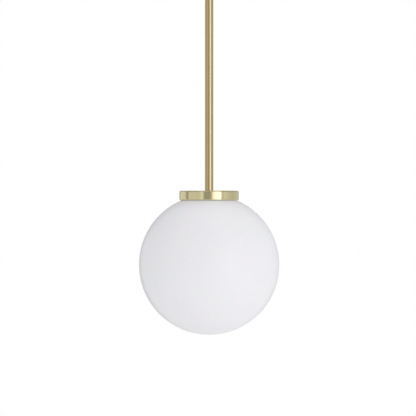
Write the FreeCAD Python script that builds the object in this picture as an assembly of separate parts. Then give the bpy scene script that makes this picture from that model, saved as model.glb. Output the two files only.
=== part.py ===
import FreeCAD, Part

"""Pendant ceiling light: an opal glass globe hung from a rigid brass stem.

A brass canopy is screwed to a steel ceiling bracket. The stem's ball hangs in a nylon seat in the canopy, so the
stem hangs plumb and can tilt. The stem ends in a shallow brass cap. Three sprung arms inside the cap catch the
globe under its throat, and an E27 lampholder hangs on the stem's lower nipple, inside the globe.

Frame: millimetres, +Z up, origin at the centre of the bracket's face on the ceiling. Everything hangs below Z 0.
"""

import math
import os

from FreeCAD import Placement, Rotation, Vector

# ---- Driving dimensions ----------------------------------------------------------------------------------------

# Canopy and its ceiling bracket.
CANOPY_DIAMETER = 110.0
CANOPY_DEPTH = 36.0
CANOPY_WALL = 1.5
CANOPY_EDGE = 4.0
BRACKET_THICKNESS = 2.0
STRAP_WIDTH = 22.0
TAB_DROP = 14.0
TAB_WIDTH = 16.0
CANOPY_SCREW_DROP = 8.0
CEILING_SCREW_SPACING = 68.0
CEILING_SLOT_WIDTH = 5.0
CEILING_SLOT_LENGTH = 12.0
MAINS_HOLE_RADIUS = 10.0

# Swivel that lets the stem hang plumb.
BALL_RADIUS = 14.0
TILT_LIMIT = 15.0
SEAT_RADIUS = 18.0
SEAT_HEIGHT = 6.0
SEAT_SPIGOT_WALL = 1.8

# Stem and its M10 x 1 hollow threaded nipples.
STEM_DIAMETER = 12.0
STEM_WALL = 1.5
STEM_LENGTH = 280.0
NIPPLE_BORE_RADIUS = 3.7
NIPPLE_GRIP = 12.0
FLEX_RADIUS = 3.1
CORE_RADIUS = 1.05

# Cap over the globe's neck.
CAP_DIAMETER = 84.4
CAP_HEIGHT = 13.0
CAP_PLATE = 2.0
CAP_WALL = 1.8
CAP_TOP_EDGE = 1.4
CAP_LOWER_EDGE = 0.7
GASKET_THICKNESS = 1.3

# Globe.
GLOBE_DIAMETER = 200.0
GLOBE_WALL = 3.0
SHOULDER_RADIUS = 6.0

# Sprung arms that hold the globe.
ARM_COUNT = 3
ARM_THICKNESS = 0.6
ARM_WIDTH = 8.0
ARM_CATCH = 3.2
CARRIER_THICKNESS = 1.5

# E27 lampholder and lamp.
HOLDER_RADIUS = 19.5
HOLDER_LENGTH = 56.0
E27_CREST_RADIUS = 13.1
E27_ROOT_RADIUS = 12.15
E27_PITCH = 3.62
E27_TURNS = 5
LAMP_RADIUS = 30.0
LAMP_LENGTH = 108.0

# ---- Clearances ------------------------------------------------------------------------------------------------

THREAD_GAP = 0.05
RUNNING_GAP = 0.06
HOLE_GAP = 0.2
SOFT_GAP = 0.3
ARM_GAP = 0.5
NECK_GAP = 2.0
TILT_GAP = 0.5

# ---- Standard small parts --------------------------------------------------------------------------------------

M10_RADIUS = 5.0
M10_NUT_ACROSS = 15.0
M10_NUT_HEIGHT = 4.0
M4_RADIUS = 2.0
M3_RADIUS = 1.5
FIXING_RADIUS = 1.25
FIXING_HEAD_RADIUS = 2.2
WASHER_THICKNESS = 0.8
WASHER_RADIUS = 8.8

# ---- Places worked out from the sizes --------------------------------------------------------------------------

UP = Vector(0, 0, 1)
DOWN = Vector(0, 0, -1)
stem_radius = STEM_DIAMETER / 2
stem_bore = stem_radius - STEM_WALL
canopy_radius = CANOPY_DIAMETER / 2
canopy_inside = canopy_radius - CANOPY_WALL
canopy_floor = -CANOPY_DEPTH + CANOPY_WALL

# The ball is cut flat where the stem meets it, level with the canopy's underside.
ball_flat_radius = stem_radius + 0.5
ball_flat_drop = math.sqrt(BALL_RADIUS**2 - ball_flat_radius**2)
pivot_z = -CANOPY_DEPTH + ball_flat_drop
ball_top_rise = 0.78 * BALL_RADIUS
tilt = math.radians(TILT_LIMIT)
seat_bore = ball_flat_drop * math.tan(tilt) + stem_radius / math.cos(tilt) + TILT_GAP
canopy_hole = seat_bore + SEAT_SPIGOT_WALL + RUNNING_GAP

# The stem runs from the ball's flat to the cap's top face.
stem_top = -CANOPY_DEPTH
cap_top = stem_top - STEM_LENGTH
cap_bottom = cap_top - CAP_HEIGHT
cap_ceiling = cap_top - CAP_PLATE
cap_radius = CAP_DIAMETER / 2
cap_inside = cap_radius - CAP_WALL

# The neck fits in the cap, and the cap's lower edge is level with the line where neck and sphere meet.
globe_radius = GLOBE_DIAMETER / 2
neck_radius = cap_inside - NECK_GAP
neck_bore = neck_radius - GLOBE_WALL
throat_rise = math.sqrt(globe_radius**2 - neck_radius**2)
globe_z = cap_bottom - throat_rise
rim_z = cap_ceiling - GASKET_THICKNESS - SOFT_GAP

# The stack clamped under the cap, then the lampholder.
carrier_z = cap_ceiling - CARRIER_THICKNESS
washer_z = carrier_z - WASHER_THICKNESS
nut_z = washer_z - M10_NUT_HEIGHT
holder_top = nut_z - 0.7
boss_length = 7.0
boss_radius = 7.5
holder_bottom = holder_top - HOLDER_LENGTH
skirt_z = holder_top - 22.0
insulator_top = holder_top - 18.0
insulator_floor = holder_top - 30.0
flex_end_z = holder_top - boss_length - 2.0
lamp_top = insulator_floor - 2.8


# ---- Shaping ---------------------------------------------------------------------------------------------------


def solid_of(shape):
    """The shape as one outward-facing solid."""
    solid = shape if shape.ShapeType == "Solid" else Part.makeSolid(shape.Shells[0])
    if solid.Volume < 0:
        solid.reverse()
    return solid


def cylinder(radius, low, high, x=0.0, y=0.0):
    return Part.makeCylinder(radius, high - low, Vector(x, y, low))


def ring(outer, inner, low, high):
    return cylinder(outer, low, high).cut(cylinder(inner, low, high))


def block(x_size, y_size, low, high, x=0.0, y=0.0):
    return Part.makeBox(x_size, y_size, high - low, Vector(x - x_size / 2, y - y_size / 2, low))


def lathe(outline):
    """A solid turned about Z. The outline is (r, z) corners; an entry of two pairs is an arc through the first."""
    here = Vector(outline[0][0], 0, outline[0][1])
    edges = []
    for step in outline[1:] + outline[:1]:
        through, end = step if isinstance(step[0], tuple) else (None, step)
        there = Vector(end[0], 0, end[1])
        if through:
            middle = Vector(through[0], 0, through[1])
            edges.append(Part.Arc(here, middle, there).toShape())
        else:
            edges.append(Part.LineSegment(here, there).toShape())
        here = there
    face = Part.Face(Part.Wire(edges))
    return solid_of(face.revolve(Vector(), UP, 360))


def rounded(solid, radius, *circles):
    """The solid with its round edges at these (radius, z) places filleted."""

    def wanted(edge):
        curve = edge.Curve
        return isinstance(curve, Part.Circle) and any(
            abs(curve.Radius - r) < 1e-4 and abs(curve.Center.z - z) < 1e-4 for r, z in circles
        )

    return solid_of(solid.makeFillet(radius, [e for e in solid.Edges if wanted(e)]))


def aimed(shape, base, direction):
    """The shape moved from the origin to base, with its own +Z turned to direction."""
    moved = shape.copy()
    moved.Placement = Placement(Vector(*base), Rotation(UP, Vector(*direction)))
    return moved


def turned(shape, angle):
    """The shape turned about Z by an angle in degrees."""
    copy = shape.copy()
    copy.rotate(Vector(), UP, angle)
    return copy


def hexagon(across, low, high):
    corner = across / math.sqrt(3)
    corners = [
        Vector(corner * math.cos(math.radians(60 * k)), corner * math.sin(math.radians(60 * k)), low)
        for k in range(7)
    ]
    return Part.Face(Part.makePolygon(corners)).extrude(Vector(0, 0, high - low))


def path_through(points, bend=None):
    """Straight runs joined by tangent arcs, of one bend radius or each as large as its runs allow."""
    edges, here = [], points[0]
    for before, corner, after in zip(points, points[1:], points[2:]):
        back, onward = before - corner, after - corner
        half_turn = (math.pi - back.getAngle(onward)) / 2
        largest = 0.45 * min(back.Length, onward.Length) / math.tan(half_turn)
        radius = min(bend or largest, largest)
        back.normalize()
        onward.normalize()
        middle = back + onward
        middle.normalize()
        start = corner + back * (radius * math.tan(half_turn))
        end = corner + onward * (radius * math.tan(half_turn))
        inside = corner + middle * (radius / math.cos(half_turn) - radius)
        edges.append(Part.LineSegment(here, start).toShape())
        edges.append(Part.Arc(start, inside, end).toShape())
        here = end
    edges.append(Part.LineSegment(here, points[-1]).toShape())
    return Part.Wire(edges)


def wire_along(points, radius):
    """A round insulated wire along its route."""
    route = [Vector(*p) for p in points]
    circle = Part.Circle(route[0], route[1] - route[0], radius).toShape()
    return solid_of(path_through(route).makePipeShell([Part.Wire(circle)], True, False))


def strip_along(points, thickness, width, bend):
    """A bent metal strip: its centre line is (x, z) points, and its width lies along Y."""
    route = [Vector(x, 0, z) for x, z in points]
    along = route[1] - route[0]
    along.normalize()
    across = Vector(-along.z, 0, along.x) * (thickness / 2)
    side = Vector(0, width / 2, 0)
    start = route[0]
    corners = [start + across + side, start + across - side, start - across - side, start - across + side]
    sweep = Part.BRepOffsetAPI.MakePipeShell(path_through(route, bend))
    sweep.setBiNormalMode(Vector(0, 1, 0))
    sweep.add(Part.makePolygon(corners + corners[:1]))
    sweep.build()
    sweep.makeSolid()
    return solid_of(sweep.shape())


def slotted_screw(head_radius, head_height, shank_radius, shank_length):
    """A cheese-head screw. Its head sits on Z 0 and stands up, and its shank runs down."""
    head = rounded(cylinder(head_radius, 0, head_height), head_height * 0.3, (head_radius, head_height))
    slot = block(head_radius * 3, head_radius * 0.28, head_height * 0.55, head_height * 2)
    return head.cut(slot).fuse(cylinder(shank_radius, -shank_length, 0)).removeSplitter()


def grub_screw(radius, length):
    """A socket set screw from Z 0 down, with its socket at Z 0."""
    socket = hexagon(radius * 1.05, -length * 0.4, 0)
    return cylinder(radius, -length, 0).cut(socket)


# ---- Ceiling bracket and canopy --------------------------------------------------------------------------------

tab_face = math.sqrt(canopy_inside**2 - (TAB_WIDTH / 2) ** 2) - SOFT_GAP
terminal_y = 30.0
terminal_depth = 16.0
terminal_pitch = 8.0
terminal_height = 13.0
terminal_top = -BRACKET_THICKNESS
terminal_bore_z = terminal_top - 7.5
terminal_foot = terminal_top - terminal_height + 3.0
lobe_width = 34.0
lobe_reach = terminal_y + terminal_depth / 2 + 2.0
earth_x = -20.0
earth_y = 2.0
fixing_x = (-terminal_pitch / 2, terminal_pitch / 2)
pole_x = (-terminal_pitch, 0.0, terminal_pitch)


def ceiling_bracket():
    """A strap across the canopy with a threaded tab at each end, and a lobe that carries the terminal block."""
    strap = block(2 * tab_face, STRAP_WIDTH, -BRACKET_THICKNESS, 0)
    lobe = block(lobe_width, lobe_reach, -BRACKET_THICKNESS, 0, 0, lobe_reach / 2)
    plate = strap.fuse(lobe).removeSplitter()
    corners = [e for e in plate.Edges if e.Length < BRACKET_THICKNESS * 1.01 and abs(e.Vertexes[0].Y) > 5]
    plate = plate.makeFillet(3.0, corners)
    plate = plate.cut(cylinder(MAINS_HOLE_RADIUS, -BRACKET_THICKNESS, 0))
    for side in (-1, 1):
        tab_x = side * (tab_face - BRACKET_THICKNESS / 2)
        tab = block(BRACKET_THICKNESS, TAB_WIDTH, -TAB_DROP, -BRACKET_THICKNESS / 2, tab_x)
        plate = plate.fuse(tab)
        slot_x = side * CEILING_SCREW_SPACING / 2
        half_run = (CEILING_SLOT_LENGTH - CEILING_SLOT_WIDTH) / 2
        slot = block(2 * half_run, CEILING_SLOT_WIDTH, -BRACKET_THICKNESS, 0, slot_x)
        for end in (-half_run, half_run):
            slot = slot.fuse(cylinder(CEILING_SLOT_WIDTH / 2, -BRACKET_THICKNESS, 0, slot_x + end))
        hole = aimed(
            cylinder(M4_RADIUS + THREAD_GAP, -2 * BRACKET_THICKNESS, BRACKET_THICKNESS),
            (tab_x, 0, -CANOPY_SCREW_DROP),
            (side, 0, 0),
        )
        plate = plate.cut(slot).cut(hole)
    plate = plate.cut(cylinder(M4_RADIUS + THREAD_GAP, -BRACKET_THICKNESS, 0, earth_x, earth_y))
    for x in fixing_x:
        plate = plate.cut(cylinder(FIXING_RADIUS + THREAD_GAP, -BRACKET_THICKNESS, 0, x, terminal_y))
    return plate.removeSplitter()


def canopy():
    """The spun brass cup that hides the bracket. Its floor carries the swivel."""
    cup = lathe(
        [
            (canopy_hole, -CANOPY_DEPTH),
            (canopy_radius, -CANOPY_DEPTH),
            (canopy_radius, 0),
            (canopy_inside, 0),
            (canopy_inside, canopy_floor),
            (canopy_hole, canopy_floor),
        ]
    )
    cup = rounded(cup, CANOPY_EDGE, (canopy_radius, -CANOPY_DEPTH))
    cup = rounded(cup, CANOPY_EDGE - CANOPY_WALL, (canopy_inside, canopy_floor))
    cup = rounded(cup, 0.4, (canopy_hole, -CANOPY_DEPTH))
    for side in (-1, 1):
        through = cylinder(M4_RADIUS + HOLE_GAP, 0, canopy_radius * 1.2)
        cup = cup.cut(aimed(through, (0, 0, -CANOPY_SCREW_DROP), (side, 0, 0)))
    return cup


def canopy_screws():
    """Two brass screws through the canopy's wall into the bracket's tabs."""
    screw = slotted_screw(3.9, 2.6, M4_RADIUS, canopy_radius - tab_face + BRACKET_THICKNESS + 4.0)
    return Part.makeCompound(
        [aimed(screw, (side * canopy_radius, 0, -CANOPY_SCREW_DROP), (side, 0, 0)) for side in (-1, 1)]
    )


def terminal_block():
    """A three-pole terminal block, bored for its brass inserts, their screws and its own fixings."""
    length = 3 * terminal_pitch
    body = block(length, terminal_depth, terminal_foot, terminal_top, 0, terminal_y)
    for x in pole_x:
        tower = block(
            terminal_pitch * 0.74, terminal_depth, terminal_top - terminal_height, terminal_top - 8, x, terminal_y
        )
        body = body.fuse(tower)
    body = body.removeSplitter()
    for x in pole_x:
        bore = aimed(
            cylinder(2.3, 0, terminal_depth),
            (x, terminal_y - terminal_depth / 2, terminal_bore_z),
            (0, 1, 0),
        )
        body = body.cut(bore)
        for y in (terminal_y - 4, terminal_y + 4):
            body = body.cut(cylinder(1.6, terminal_top - terminal_height, terminal_bore_z, x, y))
    recess = FIXING_HEAD_RADIUS + HOLE_GAP
    for x in fixing_x:
        body = body.cut(cylinder(FIXING_RADIUS + THREAD_GAP, -CANOPY_DEPTH, 0, x, terminal_y))
        body = body.cut(cylinder(recess, -CANOPY_DEPTH, terminal_foot, x, terminal_y))
    return body


def terminal_inserts():
    """The brass tubes that join the wires, one to a pole."""
    inserts = []
    for x in pole_x:
        tube = aimed(
            ring(2.25, 1.25, 0.8, terminal_depth - 0.8),
            (x, terminal_y - terminal_depth / 2, terminal_bore_z),
            (0, 1, 0),
        )
        for y in (terminal_y - 4, terminal_y + 4):
            tube = tube.cut(cylinder(1.25, terminal_bore_z - 4, terminal_bore_z, x, y))
        inserts.append(tube)
    return Part.makeCompound(inserts)


def terminal_screws():
    """Two clamping screws to a pole, driven from below."""
    screw = cylinder(1.2, 0, 3.6).cut(block(3.0, 0.5, 2.9, 4.0))
    return Part.makeCompound(
        [
            aimed(screw, (x, y, terminal_bore_z - 1.4), (0, 0, -1))
            for x in pole_x
            for y in (terminal_y - 4, terminal_y + 4)
        ]
    )


def terminal_fixings():
    """The two small screws that hold the block to the bracket."""
    screw = slotted_screw(FIXING_HEAD_RADIUS, 1.5, FIXING_RADIUS, -terminal_foot)
    return Part.makeCompound([aimed(screw, (x, terminal_y, terminal_foot), DOWN) for x in fixing_x])


lug_thickness = 0.8


def earth_screw():
    screw = slotted_screw(3.6, 2.4, M4_RADIUS, lug_thickness + BRACKET_THICKNESS)
    return aimed(screw, (earth_x, earth_y, terminal_top - lug_thickness), DOWN)


def earth_lug():
    """The ring tongue on the earth lead, with its crimped barrel."""
    low, high = terminal_top - lug_thickness, terminal_top
    eye = cylinder(4.0, low, high, earth_x, earth_y)
    tongue = block(3.6, 8.0, low, high, earth_x, earth_y + 5.0)
    barrel = aimed(cylinder(1.9, 0, 5.0), (earth_x, earth_y + 8.0, terminal_top - 2.0), (0, 1, 0))
    hollow = aimed(
        cylinder(CORE_RADIUS + THREAD_GAP, 1.0, 6.0), (earth_x, earth_y + 8.0, terminal_top - 2.0), (0, 1, 0)
    )
    lug = eye.fuse(tongue).fuse(barrel).cut(hollow)
    return lug.cut(cylinder(M4_RADIUS + THREAD_GAP, low - 1, high + 1, earth_x, earth_y)).removeSplitter()


def earth_lead():
    """The green and yellow lead from the block's earth pole round to the bracket's earth screw."""
    far_face = terminal_y + terminal_depth / 2
    lug_end = earth_y + 10.0
    return wire_along(
        [
            (-terminal_pitch, far_face, terminal_bore_z),
            (-terminal_pitch, far_face + 7.0, terminal_bore_z),
            (-terminal_pitch - 15.0, far_face + 3.0, terminal_bore_z + 1.0),
            (earth_x - 3.0, terminal_y - 6.0, terminal_bore_z + 3.0),
            (earth_x, lug_end + 8.0, terminal_top - 2.0),
            (earth_x, lug_end, terminal_top - 2.0),
        ],
        CORE_RADIUS,
    )


# ---- Swivel, stem and its wiring -------------------------------------------------------------------------------

sheath_top = pivot_z + ball_top_rise + 2.0
core_offset = CORE_RADIUS + 0.35
core_angles = {"live": -30.0, "neutral": 90.0, "earth": 210.0}


def core_start(core):
    angle = math.radians(core_angles[core])
    return core_offset * math.cos(angle), core_offset * math.sin(angle)


def canopy_core(core, pole):
    """One insulated core from the end of the sheath over to its pole of the terminal block."""
    x, y = core_start(core)
    face = terminal_y - terminal_depth / 2
    return wire_along(
        [
            (x, y, sheath_top),
            (x, y, sheath_top + 4.6),
            (x * 0.4 + pole * 0.55, y * 0.5 + 10.0, sheath_top + 4.2),
            (pole, face - 5.0, terminal_bore_z),
            (pole, face, terminal_bore_z),
        ],
        CORE_RADIUS,
    )


def swivel_seat():
    """The nylon ring in the canopy's hole. Its hollow carries the ball."""
    low = canopy_floor + RUNNING_GAP
    hollow = BALL_RADIUS + RUNNING_GAP
    body = cylinder(SEAT_RADIUS, low, canopy_floor + SEAT_HEIGHT)
    body = body.fuse(cylinder(seat_bore + SEAT_SPIGOT_WALL, -CANOPY_DEPTH, low)).removeSplitter()
    body = body.cut(Part.makeSphere(hollow, Vector(0, 0, pivot_z)))
    return body.cut(cylinder(seat_bore, -CANOPY_DEPTH - 1, 0)).removeSplitter()


def swivel_ball():
    """The brass ball on the stem's top, tapped for the nipple below and flared above for the flex."""
    ball = Part.makeSphere(BALL_RADIUS, Vector(0, 0, pivot_z))
    ball = ball.common(cylinder(BALL_RADIUS * 2, pivot_z - ball_flat_drop, pivot_z + ball_top_rise))
    ball = ball.cut(cylinder(M10_RADIUS + THREAD_GAP, pivot_z - BALL_RADIUS, pivot_z))
    throat, mouth = FLEX_RADIUS + 1.1, 0.5 * BALL_RADIUS
    flare = Part.makeCone(throat, mouth, ball_top_rise, Vector(0, 0, pivot_z))
    tapped = cylinder(M3_RADIUS + THREAD_GAP, 0, BALL_RADIUS * 1.2)
    return ball.cut(flare).cut(aimed(tapped, (0, 0, pivot_z - 2.2), (0, -1, 0)))


def ball_grub_screw():
    length = 5.0
    return aimed(grub_screw(M3_RADIUS, length), (0, -(M10_RADIUS + length), pivot_z - 2.2), (0, -1, 0))


def nipple(low, high):
    return ring(M10_RADIUS, NIPPLE_BORE_RADIUS, low, high)


def stem_tube():
    """The brass tube, tapped at both ends for the nipples."""
    tube = ring(stem_radius, stem_bore, cap_top, stem_top)
    for low, high in ((stem_top - NIPPLE_GRIP, stem_top), (cap_top, cap_top + NIPPLE_GRIP)):
        tube = tube.cut(cylinder(M10_RADIUS + THREAD_GAP, low, high))
    return tube


# ---- Cap and what is clamped in it -----------------------------------------------------------------------------


def cap():
    """The turned brass cap over the globe's neck."""
    hole = M10_RADIUS + HOLE_GAP
    body = lathe(
        [
            (hole, cap_ceiling),
            (cap_inside, cap_ceiling),
            (cap_inside, cap_bottom),
            (cap_radius, cap_bottom),
            (cap_radius, cap_top),
            (hole, cap_top),
        ]
    )
    body = rounded(body, CAP_TOP_EDGE, (cap_radius, cap_top))
    return rounded(body, CAP_LOWER_EDGE, (cap_radius, cap_bottom))


def neck_gasket():
    return ring(neck_radius + 1.0, neck_bore - 0.6, cap_ceiling - GASKET_THICKNESS, cap_ceiling)


rivet_radii = (18.0, 25.0)
rivet_shank = 1.5
arm_start = 14.5
arm_line = neck_bore - 1.1 - ARM_THICKNESS / 2
arm_flange_z = carrier_z - ARM_THICKNESS / 2
arm_angles = [90.0 + 360.0 / ARM_COUNT * k for k in range(ARM_COUNT)]


def rivet_holes():
    return [cylinder(rivet_shank, carrier_z - 5, cap_ceiling, r) for r in rivet_radii]


def spring_carrier():
    """The steel disc under the cap that the sprung arms are riveted to."""
    disc = ring(neck_bore - 6.0, M10_RADIUS + HOLE_GAP, carrier_z, cap_ceiling)
    for angle in arm_angles:
        for hole in rivet_holes():
            disc = disc.cut(turned(hole, angle))
    return disc


def spring_arm(angle):
    """A sprung strip: down through the neck, out under the glass throat, then in again as a lead-in."""
    reach = GLOBE_WALL + ARM_GAP + ARM_THICKNESS / 2
    diagonal = math.sqrt(0.5)
    touch_r = neck_radius - reach * diagonal
    touch_z = cap_bottom - reach * diagonal
    slope_z = touch_z + (touch_r - arm_line)
    crest_r = neck_bore + ARM_CATCH
    crest_z = touch_z - (crest_r - touch_r)
    strip = strip_along(
        [
            (arm_start, arm_flange_z),
            (arm_line, arm_flange_z),
            (arm_line, slope_z),
            (crest_r, crest_z),
            (arm_line - 4.0, crest_z - 13.0),
        ],
        ARM_THICKNESS,
        ARM_WIDTH,
        bend=1.6,
    )
    for hole in rivet_holes():
        strip = strip.cut(hole)
    return turned(strip, angle)


def spring_rivets():
    """Two rivets to an arm, flush above and domed below."""
    under = carrier_z - ARM_THICKNESS
    rivet = cylinder(rivet_shank, under, cap_ceiling)
    dome = rounded(cylinder(2.7, under - 1.2, under), 0.9, (2.7, under - 1.2))
    rivet = rivet.fuse(dome).removeSplitter()
    rivets = []
    for angle in arm_angles:
        for r in rivet_radii:
            moved = rivet.copy()
            moved.translate(Vector(r, 0, 0))
            rivets.append(turned(moved, angle))
    return Part.makeCompound(rivets)


def lock_washer():
    return ring(WASHER_RADIUS, M10_RADIUS + HOLE_GAP, washer_z, carrier_z)


def lock_nut():
    """An M10 x 1 nut with chamfered corners."""
    corner = M10_NUT_ACROSS / math.sqrt(3)
    nut = hexagon(M10_NUT_ACROSS, nut_z, washer_z)
    trim = lathe(
        [
            (0, nut_z),
            (corner - 0.9, nut_z),
            (corner + 0.1, nut_z + 0.6),
            (corner + 0.1, washer_z - 0.6),
            (corner - 0.9, washer_z),
            (0, washer_z),
        ]
    )
    return nut.common(trim).cut(cylinder(M10_RADIUS + THREAD_GAP, nut_z, washer_z))


# ---- Lampholder ------------------------------------------------------------------------------------------------

cap_skin = 1.0
shell_neck = HOLDER_RADIUS - cap_skin - THREAD_GAP
shell_inside = HOLDER_RADIUS - 2.1
insulator_radius = shell_inside - HOLE_GAP
insulator_bore = E27_CREST_RADIUS + 1.6
screw_shell_bore = E27_CREST_RADIUS + 0.4
screw_shell_top = insulator_floor - 3.4
live_post = (9.0, 0.0)
neutral_post = (0.0, 12.0)
earth_post = (-12.0, 0.0)
post_radius = 2.2
post_top = insulator_top + 2.5
post_screw_radius = 0.95
earth_post_radius = 1.8
earth_post_z = holder_top - 12.5
grub_z = holder_top - 2.6


def holder_cap():
    """The domed top of the lampholder, with its tapped boss and its earth post inside."""
    dome_z = holder_top - 5.0
    spring_z = holder_top - 15.0
    dome = lathe(
        [
            (M10_RADIUS + THREAD_GAP, holder_top),
            (boss_radius, holder_top),
            (boss_radius, dome_z),
            ((16.4, holder_top - 8.2), (HOLDER_RADIUS, spring_z)),
            (HOLDER_RADIUS, skirt_z),
            (HOLDER_RADIUS - cap_skin, skirt_z),
            (HOLDER_RADIUS - cap_skin, spring_z),
            ((15.6, holder_top - 9.0), (boss_radius, dome_z - cap_skin)),
            (boss_radius, holder_top - boss_length),
            (M10_RADIUS + THREAD_GAP, holder_top - boss_length),
        ]
    )
    post = cylinder(earth_post_radius, earth_post_z, holder_top - 6.6, *earth_post)
    tapped = aimed(cylinder(M3_RADIUS + THREAD_GAP, 0, boss_radius * 1.5), (0, 0, grub_z), (0, -1, 0))
    return dome.fuse(post).removeSplitter().cut(tapped)


def holder_grub_screw():
    length = boss_radius - M10_RADIUS + 0.6
    return aimed(grub_screw(M3_RADIUS, length), (0, -(M10_RADIUS + length), grub_z), (0, -1, 0))


def holder_shell():
    """The lampholder's outer barrel, screwed into the cap, with a rolled mouth."""
    lip = 1.2
    barrel = lathe(
        [
            (shell_inside, skirt_z + 6.0),
            (shell_neck, skirt_z + 6.0),
            (shell_neck, skirt_z),
            (HOLDER_RADIUS, skirt_z),
            (HOLDER_RADIUS, holder_bottom),
            (E27_CREST_RADIUS + 2.0, holder_bottom),
            (E27_CREST_RADIUS + 2.0, holder_bottom + lip),
            (shell_inside, holder_bottom + lip),
        ]
    )
    return rounded(barrel, 1.0, (HOLDER_RADIUS, holder_bottom))


def holder_insulator():
    """The ceramic core that carries the contacts, with its skirt round the screw shell."""
    low = holder_bottom + 1.2 + HOLE_GAP
    core = lathe(
        [
            (0, insulator_top),
            (insulator_radius, insulator_top),
            (insulator_radius, low),
            (insulator_bore, low),
            (insulator_bore, insulator_floor),
            (0, insulator_floor),
        ]
    )
    for place in (live_post, neutral_post):
        core = core.cut(cylinder(post_radius + THREAD_GAP, insulator_floor, insulator_top, *place))
    return core


def holder_posts():
    """The live and neutral posts through the ceramic."""
    posts = []
    for place, low in ((live_post, insulator_floor), (neutral_post, screw_shell_top)):
        post = cylinder(post_radius, low, post_top, *place)
        posts.append(post.cut(cylinder(post_screw_radius + THREAD_GAP, post_top - 5.0, post_top, *place)))
    return Part.makeCompound(posts)


def holder_post_screws():
    screw = slotted_screw(2.1, 1.5, post_screw_radius, 4.0)
    return Part.makeCompound([aimed(screw, (*place, post_top), UP) for place in (live_post, neutral_post)])


def holder_screw_shell():
    """The threaded sleeve that takes the lamp. Its upper flange meets the neutral post."""
    low = holder_bottom + 1.8
    sleeve = ring(screw_shell_bore + 0.5, screw_shell_bore, low, screw_shell_top)
    flange = ring(insulator_bore - 0.1, E27_CREST_RADIUS - 2.6, screw_shell_top - 0.6, screw_shell_top)
    return sleeve.fuse(flange).removeSplitter()


def holder_centre_contact():
    """The sprung tongue from the live post down to the lamp's eyelet."""
    thickness = 0.4
    top = insulator_floor - thickness / 2
    tip = lamp_top + SOFT_GAP + thickness / 2
    return strip_along(
        [(live_post[0] + 2.0, top), (4.5, top), (1.5, tip), (-3.5, tip)], thickness, 5.0, bend=1.5
    )


def holder_core(core, post, radius, z):
    """A core from the flex's end to the side of its post, square to it."""
    x, y = core_start(core)
    reach = math.hypot(*post)
    end = [c * (1 - radius / reach) for c in post]
    near = [c * (1 - (radius + 2.6) / reach) for c in post]
    return wire_along([(x, y, flex_end_z), (x, y, flex_end_z - 2.4), (*near, z), (*end, z)], CORE_RADIUS)


# ---- Globe -----------------------------------------------------------------------------------------------------


def globe():
    """The blown glass: a sphere, a soft shoulder and a short neck with a fire-polished rim."""
    inner = globe_radius - GLOBE_WALL
    centre_r, centre_z = neck_radius + SHOULDER_RADIUS, 0.0
    centre_z = math.sqrt((globe_radius + SHOULDER_RADIUS) ** 2 - centre_r**2)
    on_sphere = globe_radius / (globe_radius + SHOULDER_RADIUS)
    slope = math.atan2(centre_z, centre_r)

    def at(r, z):
        return (r, globe_z + z)

    def on_arc(middle, radius, angle):
        return at(middle[0] + radius * math.cos(angle), middle[1] + radius * math.sin(angle))

    shoulder_angle = (math.pi + (slope + math.pi)) / 2
    throat_angle = math.atan2(throat_rise, neck_radius)
    lip_angle = (math.pi + (throat_angle + math.pi)) / 2
    rim_r = neck_radius - GLOBE_WALL / 2
    rim_centre = rim_z - GLOBE_WALL / 2
    return lathe(
        [
            at(0, -globe_radius),
            (at(globe_radius, 0), at(centre_r * on_sphere, centre_z * on_sphere)),
            (on_arc((centre_r, centre_z), SHOULDER_RADIUS, shoulder_angle), at(neck_radius, centre_z)),
            (neck_radius, rim_centre),
            ((rim_r, rim_z), (neck_bore, rim_centre)),
            at(neck_bore, throat_rise),
            (
                on_arc((neck_radius, throat_rise), GLOBE_WALL, lip_angle),
                at(neck_radius * inner / globe_radius, throat_rise * inner / globe_radius),
            ),
            (at(inner, 0), at(0, -inner)),
        ]
    )


# ---- Lamp ------------------------------------------------------------------------------------------------------

thread_top = lamp_top - 5.0
thread_bottom = thread_top - E27_TURNS * E27_PITCH
bulb_z = lamp_top - LAMP_LENGTH + LAMP_RADIUS
seam_rise = 0.4 * LAMP_RADIUS
seam_z = bulb_z + seam_rise
seam_radius = math.sqrt(LAMP_RADIUS**2 - seam_rise**2)
housing_wall = 1.5
board_thickness = 1.6
board_z = seam_z + 0.4
collar_top = board_z + board_thickness + 0.6


def lamp_cap():
    """The lamp's E27 shell. Its rounded thread is drawn as rings."""
    outline = [(E27_ROOT_RADIUS - 0.8, thread_bottom - 2.0), (E27_ROOT_RADIUS - 0.8, thread_top)]
    outline.append((E27_ROOT_RADIUS, thread_top))
    for turn in range(E27_TURNS):
        start = thread_top - turn * E27_PITCH
        outline.append(((E27_CREST_RADIUS, start - E27_PITCH / 2), (E27_ROOT_RADIUS, start - E27_PITCH)))
    outline.append((E27_CREST_RADIUS, thread_bottom))
    outline.append((E27_CREST_RADIUS, thread_bottom - 2.0))
    return lathe(outline)


def lamp_insulator():
    return lathe(
        [
            (0, lamp_top - 1.2),
            (5.2, lamp_top - 1.2),
            (E27_ROOT_RADIUS - 0.4, thread_top),
            (0, thread_top),
        ]
    )


def lamp_eyelet():
    low = lamp_top - 1.2
    return rounded(cylinder(4.6, low, lamp_top), 0.8, (4.6, lamp_top))


def lamp_housing():
    """The lamp's tapering body, from its cap down to the seam with its diffuser."""
    top = thread_bottom - 2.0
    neck = E27_CREST_RADIUS + 0.4
    middle_z = (top + collar_top) / 2
    middle_r = 0.54 * neck + 0.46 * seam_radius
    return lathe(
        [
            (neck, top),
            ((middle_r, middle_z), (seam_radius, collar_top)),
            (seam_radius, seam_z),
            (seam_radius - housing_wall, seam_z),
            (seam_radius - housing_wall, collar_top),
            ((middle_r - housing_wall, middle_z), (neck - housing_wall, top)),
        ]
    )


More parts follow.
